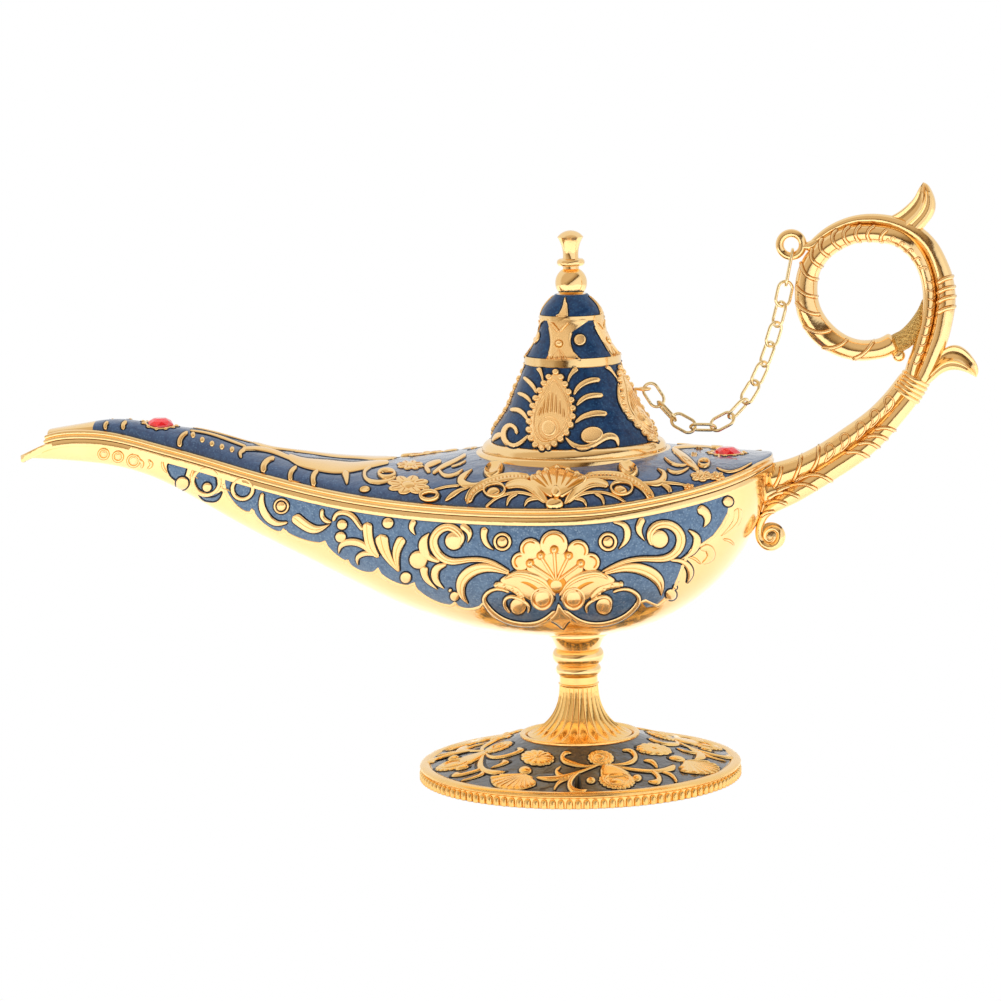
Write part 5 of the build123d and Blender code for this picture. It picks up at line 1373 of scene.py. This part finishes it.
# deck_lines: painted shade in darker gold, under the fan's rays and along the petals
deck, deck_lines = Relief(deck_skin, lift=1.2), Relief(deck_skin, lift=1.2)
for rows in LOBE_BANDS:
    deck.stroke(rows, 0.75, rim=0.45, sides=15, flat=0.3)
    deck.beads(rows, 1.1, 3.7, 0.72)
for rows in LOBE_PETALS:
    deck.stroke(rows, 0.75, rim=0.3, sides=15, flat=0.3)
for rows in DECK_STROKES:
    deck.stroke(rows, 0.55)
for row in DECK_RINGS:
    deck.ring(*row, height=1.1)
for *row, turn in RING_BOSSES:
    deck.boss(*row, height=1.0, turn=turn)
for *row, turn in HOLLOW_OVALS:
    deck.boss(*row, height=1.3, turn=turn, dish=1.0, power=10)
deck.boss(*LEAF_BUD, turn=-8, height=0.5, dish=0.2, power=6)
for row in FLOWERS:
    flower(*row)
deck.patch(FAN, height=1.0, power=8, centre=FAN_CENTRE)
for x, y in FAN_TIPS:
    foot_x = FAN_FOOT[0] + (x - FAN_FOOT[0]) * 0.3
    deck.boss(x, y, 4, 3, height=1.35, edge=0)
    deck_lines.pin((x, y, 6), (foot_x, FAN_FOOT[1], 3), 4.8, 1.16)
    deck.pin((x, y, 4.5), (foot_x, FAN_FOOT[1], 2), 3.4, 1.3)
deck.stroke(FAN_STEM, 1.7, edge=0, flat=0.7)
deck.boss(*FAN_BALL, height=1.3)
deck.stroke(TIP_LINE)
deck.beads(TIP_BEADS, 2.6, 8.5, 0.6)

# Bezels and cut stones on the ridge, in mm: place along the lamp, radius, squeeze of the row of beads

GEMS = ((-96.7, 3.15, 0.8), (34.8, 3.3, 1.0))
GEM_SQUASH = 0.92
GEM_MID, GEM_TOP, GEM_DEEP = 0.85, 1.5, 1.3
MID_SHARES, TOP_SHARES = (0.82, 0.78), (0.46, 0.43)
BEZEL_BEADS, BEAD_SIZE = 12, 0.5


def bezel(relief, x, size, squeeze):
    """A plain ring and a row of beads round a stone."""
    relief.ring(PLAN * x, 0, PLAN * (size + 0.5), PLAN * (size - 0.05), GEM_SQUASH, height=0.3)
    for a in np.linspace(0, 2 * math.pi, BEZEL_BEADS, endpoint=False):
        bead_x, bead_y = x + (size + 0.85) * math.cos(a), (size + 0.85) * squeeze * math.sin(a)
        relief.boss(PLAN * bead_x, PLAN * bead_y, PLAN * BEAD_SIZE, height=0.4)


def cut_stone(shape, x, size):
    """Eight sides of a faceted stone with a skirt under its girdle."""
    z = float(crown(x))

    def corner(degrees, shares, high):
        a = math.radians(degrees)
        return (x + size * shares[0] * math.cos(a), size * shares[1] * math.sin(a), z + high)

    for turn in range(0, 360, 45):
        low = [corner(turn + t, (1.0, GEM_SQUASH), 0.0) for t in (0, 45)]
        skirt = [corner(turn + t, (1.0, GEM_SQUASH), -GEM_DEEP) for t in (0, 45)]
        mid = [corner(turn + t, MID_SHARES, GEM_MID) for t in (-22.5, 22.5, 67.5)]
        top = [corner(turn + t, TOP_SHARES, GEM_TOP) for t in (0, 45)]
        shape.add([*low, *skirt], [(0, 2, 3, 1)])
        for facet in (
            (low[0], low[1], mid[1]), (low[1], mid[2], mid[1]), (mid[0], mid[1], top[0]), (mid[1], top[1], top[0]),
            (top[0], top[1], (x, 0, z + GEM_TOP)),
        ):
            shape.add(facet, [(0, 1, 2)])


ridge, gems = Relief(PlanSkin(crown_skin, deck_level)), Shape()
for x, size, squeeze in GEMS:
    bezel(ridge, x, size, squeeze)
    cut_stone(gems, x, size)
gem_piece = make_piece("gems_cut", gems, ruby, "lamp", smooth=False)
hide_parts("spout_gem", "stern_gem")
# outline pieces are dark strips of painted shade round the relief; recess pieces are painted shade in darker gold in
# its lines
for part_name, shape, looks, slot, sharp in (
    ("relief", deck.gold, gold_deck, "gold", 60), ("recess", deck_lines.gold, deep_shade_gold, "gold", 60),
    ("outline", deck.dark, shade_blue, "deck_enamel", None),
):
    for side_name, build in SIDES:
        make_piece(f"deck_{part_name}_{side_name}", build(shape), looks, "lamp", sharp=sharp)
bezels = make_piece("ridge_relief", ridge.gold, gold_deck, "lamp", sharp=60)
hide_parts("spout_bezel", "stern_bezel")
# Dark strips round the bezels: painted shade
make_piece("ridge_edge_shade", ridge.dark, shade_blue, "lamp")

# Lid ornament, in pixels, cast once for the front and then turned to two or four sides

LID_TURN = math.radians(-50.5)
LID_RANGE = (76.0, 110.6)
LID_STROKES = [
    [(599.9, 379.5, 4.0), (590.5, 380.1, 5.4), (582.5, 383.5, 5.1), (577.1, 388.4, 4.0), (573.9, 394.5, 1.6)],
    [(602.9, 395.1, 4.0), (593.2, 395.1, 5.1), (585.2, 397.1, 4.8), (579.8, 401.2, 3.8), (576.6, 405.2, 1.6)],
    [(606.9, 413.9, 4.6), (597.2, 412.9, 5.6), (587.9, 414.6, 5.4), (581.2, 417.5, 4.3), (575.1, 422.6, 1.6)],
    [(523.8, 376.5, 2.7), (530.3, 382.1, 4.0), (534.3, 387.1, 3.6), (537.0, 393.1, 1.6)],
    [(517.9, 392.6, 2.7), (524.9, 395.1, 3.8), (528.9, 398.5, 3.3), (531.9, 402.8, 1.6)],
    [(510.4, 409.6, 3.2), (518.2, 409.6, 4.6), (524.2, 413.9, 4.2), (528.7, 421.2, 1.6)],
    [(565.6, 437.1, 1.3), (571.8, 443.3, 4.0), (579.8, 447.0, 5.6), (587.9, 446.4, 5.6), (594.6, 443.3, 5.6),
     (601.9, 438.4, 6.2), (609.3, 435.7, 6.4), (615.7, 438.0, 4.8), (618.1, 446.0, 0.8)],
    [(528.9, 434.6, 1.6), (522.2, 441.1, 3.5), (514.2, 445.0, 4.3), (507.9, 442.7, 4.8), (504.4, 436.7, 5.1),
     (505.1, 429.3, 4.8), (510.2, 425.0, 4.0), (515.5, 427.9, 3.5), (517.1, 434.0, 2.4)],
    [(505.1, 434.6, 3.5), (498.8, 435.0, 5.1), (492.1, 441.1, 0.8)],
]
LID_TIES = [
    [(538.6, 366.3, 6.7), (540.4, 370.4, 3.8), (542.3, 375.7, 2.4), (543.1, 381.6, 1.1)],
    [(577.1, 366.6, 8.0), (572.9, 371.4, 4.0), (569.8, 375.7, 2.7), (568.0, 381.9, 1.1)],
]
LID_CRESCENT = [
    (617.9, 382.4, 0.8), (618.9, 394.5, 3.2), (621.6, 403.8, 4.3), (626.4, 412.1, 3.8),
    (632.7, 419.2, 1.9), (637.4, 422.6, 0.5),
]
HOURGLASS = [
    (547.0, 318.1), (549.3, 326.2), (550.8, 334.2), (551.3, 342.2), (550.4, 348.9), (548.8, 353.6),
    (545.8, 359.4), (555.7, 359.9), (569.1, 359.9), (581.2, 359.4), (574.7, 354.6), (571.1, 347.6),
    (569.9, 339.6), (571.8, 331.8), (577.1, 325.1), (588.1, 319.7), (585.2, 317.9), (566.4, 317.5),
]
SPEAR = [
    (565.4, 296.7), (564.3, 302.1), (562.4, 308.8), (559.5, 313.4), (555.7, 316.2), (562.4, 316.8),
    (567.5, 316.2), (567.0, 310.1), (566.4, 302.1),
]
HOURGLASS_CENTRE, HOURGLASS_KNOT, SPEAR_CENTRE = (560.4, 340), (559.4, 343.6), (564, 312)
SIDE_BALL = (579.8, 339.3, 5.8)
PLUME_EYE, PLUME_EYE_RING = (591.9, 434.8, 11.2, 8.2), (592, 435, 6.6, 5.2, 0.85)
# The hourglass's sides and the spear's sides, drawn once more as fine strokes
OUTLINE_RUNS = (HOURGLASS[1:6], HOURGLASS[-5:-10:-1], SPEAR[:4], SPEAR[:-4:-1])
HOURGLASS_LINES = [
    [(551.4, 321.6, 1.9), (555.7, 326.8, 2.7), (559.5, 331.8, 3.2)],
    [(568.4, 321.6, 1.9), (563.8, 326.8, 2.7), (560.0, 331.8, 3.2)],
    [(550.4, 359.0, 1.1), (554.6, 352.9, 1.6), (558.4, 348.4, 1.6)],
    [(566.2, 359.0, 1.1), (562.4, 352.9, 1.6), (558.9, 348.4, 1.6)],
    [(555.7, 359.0, 0.8), (557.7, 353.6, 1.1), (558.7, 348.9, 0.8)],
    [(561.6, 359.0, 0.8), (560.3, 353.6, 1.1), (558.9, 348.9, 0.8)],
]
MEDALLION_BEADS = [
    (556, 371.7), (549.6, 376.8), (544.8, 383.2), (540.6, 390.4), (536.8, 398), (533.8, 405.6), (531.4, 413.4),
    (530, 421.6), (529.7, 430), (531.7, 438), (536.1, 444.2), (542, 447.4), (548.4, 446.4), (554.6, 443.4),
    (560.6, 438.8), (566.4, 432.6), (570.6, 424.8), (572.6, 416.4), (572.8, 408), (571.4, 399.8), (568.6, 391.8),
    (565.2, 384), (561, 376.8),
]
MEDALLION_LINE = [
    (554.6, 380), (548.6, 388), (543, 397.5), (538.6, 406.5), (535.5, 417), (535.3, 428), (538, 436), (543.6, 440.6),
    (549.6, 440.2), (556.6, 436.6), (563, 429), (567.4, 418.4), (568.3, 407), (564.2, 394.4), (558.6, 384.6),
]
MEDALLION_RAYS = [
    (538.8, 417.5, 544, 403), (543, 415.8, 547, 394), (547.3, 414.4, 550.6, 387.5), (551.7, 413.8, 553.8, 385),
    (556, 414.4, 557.2, 388), (560.2, 416.2, 560.6, 395), (564.2, 419.2, 563.6, 404.5),
]
MEDALLION_EYE = (549.5, 428.4)

lid_tree = node_tree("cap", "cap_skirt_enamel", "cap_upper_enamel", "cap_dome_enamel")
lid_z = np.linspace(*LID_RANGE, 240)
lid_r = measured_radius(lid_tree, lid_z, Vector((math.cos(LID_TURN), math.sin(LID_TURN), 0)), 60)


def lid_level(p):
    return np.hypot(p[:, 0], p[:, 1]) - np.interp(p[:, 2], lid_z, lid_r)


lid_shape = Shape()
revolve(lid_shape, np.stack([lid_r, lid_z], 1), 96)
lid_skin = Skin(lid_shape, lid_level)
# recess: painted shade in darker gold under the medallion's lines, knot, eye and rays
plumes, medallion, recess = (Relief(lid_skin, lift=0.6) for _ in range(3))
for rows in LID_STROKES:
    plumes.stroke(rows, 0.42, flat=0.16, sides=11)
plumes.stroke(LID_CRESCENT, 0.42, flat=0.2, sides=11)
plumes.boss(*PLUME_EYE, turn=-8, height=0.55, power=14)
plumes.ring(*PLUME_EYE_RING, height=0.85, edge=0)

for rows in LID_TIES:
    medallion.stroke(rows, 0.34, flat=0.16, sides=11)
medallion.patch(HOURGLASS, height=0.36, power=14, centre=HOURGLASS_CENTRE, edge=0)
medallion.patch(SPEAR, height=0.4, power=14, centre=SPEAR_CENTRE, edge=0)
for rows in OUTLINE_RUNS:
    medallion.stroke(with_width(rows, 1.6), 0.42)
for rows in HOURGLASS_LINES:
    recess.stroke([(x, y, w + 1.6) for x, y, w in rows], 0.48, edge=0)
    medallion.stroke(rows, 0.8, edge=0)
recess.boss(*HOURGLASS_KNOT, 4.8, height=0.5, power=8, edge=0)
medallion.boss(*HOURGLASS_KNOT, 3.6, height=1.0, edge=0)
medallion.boss(*SIDE_BALL, height=0.45, power=12)
medallion.patch(closed_path(MEDALLION_BEADS, 92), height=0.5, power=14)
for x, y in MEDALLION_BEADS:
    medallion.boss(x, y, 3.3, height=0.85, power=4, rings=6)
recess.stroke(with_width(MEDALLION_LINE, 3.4), 0.66, closed=True, edge=0)
medallion.stroke(with_width(MEDALLION_LINE, 1.7), 1.0, closed=True, edge=0)
recess.ring(*MEDALLION_EYE, 12.0, 8.4, 1.1, height=0.62, edge=0)
medallion.ring(*MEDALLION_EYE, 10.9, 9.5, 1.1, height=1.0, edge=0)
medallion.boss(*MEDALLION_EYE, 8.0, 9.0, height=1.05, power=5, edge=0)
for x0, y0, x1, y1 in MEDALLION_RAYS:
    recess.pin((x1, y1, 2.8), (x0, y0, 4.8), 4.4, 0.6)
    medallion.pin((x1, y1, 0.9), (x0, y0, 2.0), 1.6, 0.95)
lid_gold = quarter_turns(plumes.gold, (0, 180)).join(quarter_turns(medallion.gold))
lid_dark = quarter_turns(plumes.dark, (0, 180)).join(quarter_turns(medallion.dark))
# The lid's dark strips and darker gold pieces are painted shade
lid_piece = make_piece("lid_relief", lid_gold, gold_relief, "lid", sharp=50)
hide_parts("cap_medallions")
make_piece("lid_edge_shade", lid_dark, shade_blue, "lid")
make_piece("lid_shade_in_lines", quarter_turns(recess.gold), deep_shade_gold, "lid", sharp=50)

# Foot ornament on its dome, in pixels, cast once and turned to the four sides

FOOT_STROKES = [
    [(598, 764.6, 1.5), (575, 773, 3), (558.4, 777.6, 5), (545, 778, 4), (536.5, 777, 1.5)],
    [(561, 766, 1), (556.5, 771, 4), (562, 776, 4.5), (570, 776.5, 3)],
    [(584, 769.2, 1), (573, 777, 4), (570, 786, 6), (578, 791, 5), (587, 789.5, 1.5)],
    [(570, 778.4, 1), (559, 782, 3), (553.8, 789.5, 2)],
    [(599.7, 764.6, 1), (584, 765.6, 2.5), (569, 762, 5), (562.3, 757.4, 5), (564.5, 753, 4), (571.5, 752.6, 1)],
    [(610, 764, 1), (627.3, 762.6, 3), (635.3, 757.4, 5), (631.9, 751, 4), (622, 749.7, 1.5)],
    [(612, 765.5, 1), (630, 768.5, 2.5), (648, 770.4, 3), (661, 770, 3.5), (675.5, 766.3, 6)],
    [(643.4, 760, 1), (652.5, 761.4, 4), (657.5, 767.5, 2)],
    [(643.4, 769.4, 1), (656, 773.6, 4), (659, 779.6, 6), (648, 781, 1.5)],
    [(661.7, 771.5, 1), (672, 775, 3), (677, 782, 2.5)],
]
# Flowers: x, y, half sizes, petals and flutes
FOOT_FLOWERS = [
    (600.9, 757.4, 13.5, 7.6, 14, 0), (537.6, 757.4, 17.2, 7.8, 12, 12), (617, 779.8, 18.6, 9, 20, 0),
]
FLOWER_RINGS = [(617, 779.8, 13.5, 10.6, 0.48, 0.85), (600.9, 757.4, 8.4, 6, 0.56, 0.8)]
FLOWER_BUTTONS = [(616, 781, 8, 3.4, 0.5), (600.9, 757.4, 4.5, 2.4, 0.7), (537.6, 757.4, 4.5, 2.2, 0.8)]
FOOT_LEAF = [(602, 764), (611, 764), (621, 768), (630, 773), (624, 777), (610, 778), (601, 776), (600, 770)]
FOOT_BUDS = [(591, 780, 4.8, 2.7), (637, 777.6, 5, 3), (525.2, 769.8, 6.6, 3.7)]
SHELL_RIM = [
    (524.5, 773.2), (512, 774.5), (499, 776), (490.5, 778.2), (491.5, 782.5), (494.5, 785.5), (499, 787.2),
    (505.5, 788.7), (512.5, 789.3), (519.4, 789.3), (525.5, 788.4), (531, 786.8), (536, 783.4), (533, 779),
    (529, 775),
]
SHELL_ROOT = (524.5, 774)
DIAGONAL = Vector((0.7071, -0.7071, 0))
DOWN = Vector((0, 0, -1))
DOME_RANGE, OVER_DOME = (13.0, 35.6), 12

foot_tree = node_tree("foot", "foot_enamel")
dome_r = np.linspace(*DOME_RANGE, 160)
dome_z = np.array([foot_tree.ray_cast(DIAGONAL * r - DOWN * OVER_DOME, DOWN)[0][2] for r in dome_r])


def dome_level(p):
    return p[:, 2] - np.interp(np.hypot(p[:, 0], p[:, 1]), dome_r, dome_z)


dome_shape = Shape()
revolve(dome_shape, np.stack([dome_r, dome_z], 1)[::-1], 96)
sprig = Relief(Skin(dome_shape, dome_level), lift=1.0)
for rows in FOOT_STROKES:
    sprig.stroke(rows, 0.55)
for x, y, rx, ry, petals, rays in FOOT_FLOWERS:
    around = oval(x, y, rx, ry, 4, count=petals * 6)
    swing = np.linspace(0, petals, len(around), endpoint=False)
    around = np.array([x, y]) + (around - [x, y]) * (0.9 + 0.1 * np.abs(np.sin(swing * math.pi)) ** 0.5)[:, None]
    sprig.patch(around, height=0.5, power=8, dish=0.0 if rays else 0.3, rays=rays, ray=0.2)
for *row, height in FLOWER_RINGS:
    sprig.ring(*row, height=height, edge=0)
for *row, height in FLOWER_BUTTONS:
    sprig.boss(*row, height=height, edge=0)
sprig.patch(FOOT_LEAF, height=0.6, power=5, rays=8)
for x, y, rx, ry in FOOT_BUDS:
    sprig.boss(x, y, rx, ry, height=0.75)
sprig.patch(closed_path(SHELL_RIM, 72), height=0.45, power=8)
for x, y in SHELL_RIM[2:-1]:
    sprig.pin((*SHELL_ROOT, 1.2), (x, y, 4), 2.4, 0.72)
make_piece("foot_relief", quarter_turns(sprig.gold), gold_foot, "lamp", sharp=60)
# The dark strips round the foot's relief are painted shade
make_piece("foot_shade_strips", quarter_turns(sprig.dark), shade_dark, "lamp")

# Foot: fluted trumpet with its neck band, shell under the dome and reeded edge

FLUTES = 26
TRUMPET_RANGE = (9.86, 21.4)
TRUMPET_LIMIT = 12.4
FOOT_WALL = 1.2
UNDER_RANGE = (12.2, 32.6)
SHELL_RANGE, SHELL_DROP = (13.4, 34.5), 0.06
REEDS = 120
REED_R, REED_AT, REED_TOP = 0.76, 36.22, 2.0
REED_SECTIONS = (
    (0.08, 0.6), (0.2, 1.0), (REED_TOP - 0.5, 1.0), (REED_TOP - 0.12, 0.82), (REED_TOP + 0.12, 0.5),
    (REED_TOP + 0.2, 0.0),
)
NECK_BAND = [(4.3, 21.2), (4.62, 21.4), (4.66, 21.62), (4.4, 21.78), (4.36, 23.3), (4.2, 23.5), (0.02, 23.5)]
FOOT_EDGE = [
    (33.0, 1.0), (33.2, 0.1), (33.4, 0.0), (36.0, 0.0), (36.2, 0.15), (36.2, 2.3), (36.45, 2.42), (36.75, 2.62),
    (36.88, 2.9), (36.8, 3.2), (36.5, 3.45), (36.1, 3.6), (35.5, 3.72), (34.9, 3.7), (34.5, 3.5),
]
FOOT_RING = [(13.75, 9.62), (13.75, 9.95), (13.5, 10.15), (13.1, 10.2), (12.7, 10.1), (12.45, 9.86), (12.2, 9.0)]


def flute(prof, turn):
    """Scooped channels between thin ridges, closing in pointed arches at the foot."""
    u = np.abs(2 * ((turn * FLUTES / (2 * math.pi)) % 1) - 1)[None]
    share = ((prof[:, 1] - prof[0, 1]) / (prof[-1, 1] - prof[0, 1]))[:, None]
    arch = np.clip((share - 0.02 - 0.1 * u**1.5) / 0.035, 0, 1)
    fade = np.clip((1 - share) / 0.03, 0, 1) * arch
    deep = np.minimum(0.07 * prof[:, 0], 0.62)[:, None]
    return 0.04 - deep * fade * (np.sqrt(np.maximum(1 - u**2, 0))) ** 0.8


foot_z = np.linspace(*TRUMPET_RANGE, 60)
trumpet_r = np.minimum(measured_radius(foot_tree, foot_z, DIAGONAL, 30), TRUMPET_LIMIT)
foot = Shape()
revolve(foot, np.stack([trumpet_r, foot_z], 1), FLUTES * 24, flute)
revolve(foot, NECK_BAND, 72)

dome_line = np.stack([dome_r, dome_z - SHELL_DROP], 1)
dome_line = dome_line[(dome_r > SHELL_RANGE[0]) & (dome_r < SHELL_RANGE[1])][::-3]
loop = FOOT_EDGE + [tuple(v) for v in dome_line] + FOOT_RING
loop += [(r, float(np.interp(r, dome_r, dome_z)) - FOOT_WALL) for r in np.linspace(*UNDER_RANGE, 40)[1:]]
revolve(foot, loop + loop[:1], 240)

# Each reed is a round bar with a rounded top
fan = np.linspace(-math.pi / 2, math.pi / 2, 8)
bar = np.array([
    np.stack([REED_AT + REED_R * k * np.cos(fan), REED_R * k * np.sin(fan), np.full(8, z)], -1)
    for z, k in REED_SECTIONS
])
for a in 2 * math.pi * (np.arange(REEDS) + 0.5) / REEDS:
    c, s = math.cos(a), math.sin(a)
    foot.grid(np.stack([bar[..., 0] * c - bar[..., 1] * s, bar[..., 0] * s + bar[..., 1] * c, bar[..., 2]], -1))
foot_piece = make_piece("foot_body", foot, gold_foot, "lamp", sharp=35)
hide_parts("foot")

# Studio: a floor that the camera sees white, a room for the reflections and three soft lights

FLOOR_SIZE = (0.45, 0.4)
WHITE = (1, 1, 1, 1)
PALE_SIDE = unit(0.6 * right - np.array([0, 0, 0.8]))
WARM_DARK, WARM_DIM = (0.055, 0.025, 0.006), (0.28, 0.19, 0.1)
WARM_MID, WARM_PALE = (0.45, 0.36, 0.25), (0.66, 0.56, 0.44)
# The room is dim and warm above and to the left, pale below and to the right, with a dark edge between
ROOM_BANDS = [
    (0.0, WARM_PALE), (0.22, WARM_PALE), (0.33, WARM_MID), (0.40, WARM_DIM), (0.435, WARM_DARK), (0.475, WARM_DARK),
    (0.50, grey(0.85)), (0.60, grey(1.0)), (1.0, grey(1.0)),
]
ROOM_BEHIND, ROOM_STRENGTH = 0.85, 1.08
# Soft lights: name, place, target, size and power
SOFT_LIGHTS = (
    ("key_left", (-0.7, -0.45, 0.55), (-0.02, 0, 0.07), (0.5, 0.5), 4.6),
    ("key_right", (0.75, -0.35, 0.45), (0.02, 0, 0.07), (0.4, 0.5), 3.2),
    ("top", (0.0, 0.0, 0.9), (0, 0, 0.05), (0.8, 0.5), 3.4),
)


def camera_sees(tree, others, seen):
    """One shader for the camera's own rays and another for all others."""
    path = add_node(tree, "LightPath")
    links = {0: path.outputs["Is Camera Ray"], 1: others.outputs[0], 2: seen.outputs[0]}
    return add_node(tree, "MixShader", links=links).outputs[0]


def facing(tree, direction):
    """How far a ray points along a direction, from -1 to 1."""
    coord = add_node(tree, "TexCoord")
    node = add_node(tree, "VectorMath", {1: tuple(direction)}, {0: coord.outputs["Generated"]})
    node.operation = "DOT_PRODUCT"
    return node.outputs["Value"]


white, tree, bsdf = node_material("studio_white", {
    "Base Color": (0.9, 0.9, 0.9, 1), "Roughness": 0.9, "Emission Color": WHITE, "Emission Strength": 0.12,
})
surface = next(n for n in tree.nodes if n.type == "OUTPUT_MATERIAL")
feed(tree, surface, {0: camera_sees(tree, bsdf, add_node(tree, "Emission", {0: WHITE}))})
floor_mesh = bpy.data.meshes.new("floor")
floor_x, floor_y = FLOOR_SIZE
corners = [(-floor_x, -floor_y, 0), (floor_x, -floor_y, 0), (floor_x, floor_y, 0), (-floor_x, floor_y, 0)]
floor_mesh.from_pydata(corners, [], [(0, 1, 2, 3)])
floor_mesh.materials.append(white)
place_in_scene("floor", floor_mesh)

world = bpy.data.worlds.new("studio")
bpy.context.scene.world = world
world.use_nodes = True
tree = world.node_tree
tree.nodes.clear()
half = add_node(tree, "Math", {1: 0.5, 2: 0.5}, {0: facing(tree, PALE_SIDE)})
half.operation = "MULTIPLY_ADD"
bands = ramp(tree, half.outputs[0], ROOM_BANDS)
behind = ramp(tree, facing(tree, -forward), [(0.0, grey(0.0)), (0.2, grey(1.0))])
tent = mixed(tree, behind, grey(ROOM_BEHIND), bands)
room = add_node(tree, "Background", {1: ROOM_STRENGTH}, {0: tent})
plain = add_node(tree, "Background", {0: WHITE})
add_node(tree, "OutputWorld", links={0: camera_sees(tree, room, plain)})

for name, place, target, size, power in SOFT_LIGHTS:
    light = bpy.data.lights.new(name, "AREA")
    light.shape = "RECTANGLE"
    light.size, light.size_y = size
    light.energy = power
    obj = place_in_scene(name, light)
    obj.location = place
    obj.rotation_mode = "QUATERNION"
    obj.rotation_quaternion = (Vector(target) - Vector(place)).to_track_quat("-Z", "Y")
    obj.visible_glossy = False

camera = bpy.data.cameras.new("camera")
camera.sensor_width = 36.0
camera.lens = FOCAL_PIXELS / PICTURE_SIZE * camera.sensor_width
camera.clip_start = 0.01
camera_object = place_in_scene("camera", camera)
camera_object.matrix_world = Matrix([
    [right[0], above[0], -forward[0], eye[0] * MM],
    [right[1], above[1], -forward[1], eye[1] * MM],
    [right[2], above[2], -forward[2], eye[2] * MM],
    [0, 0, 0, 1],
])
bpy.context.scene.camera = camera_object
bpy.context.scene.view_settings.view_transform = "Standard"
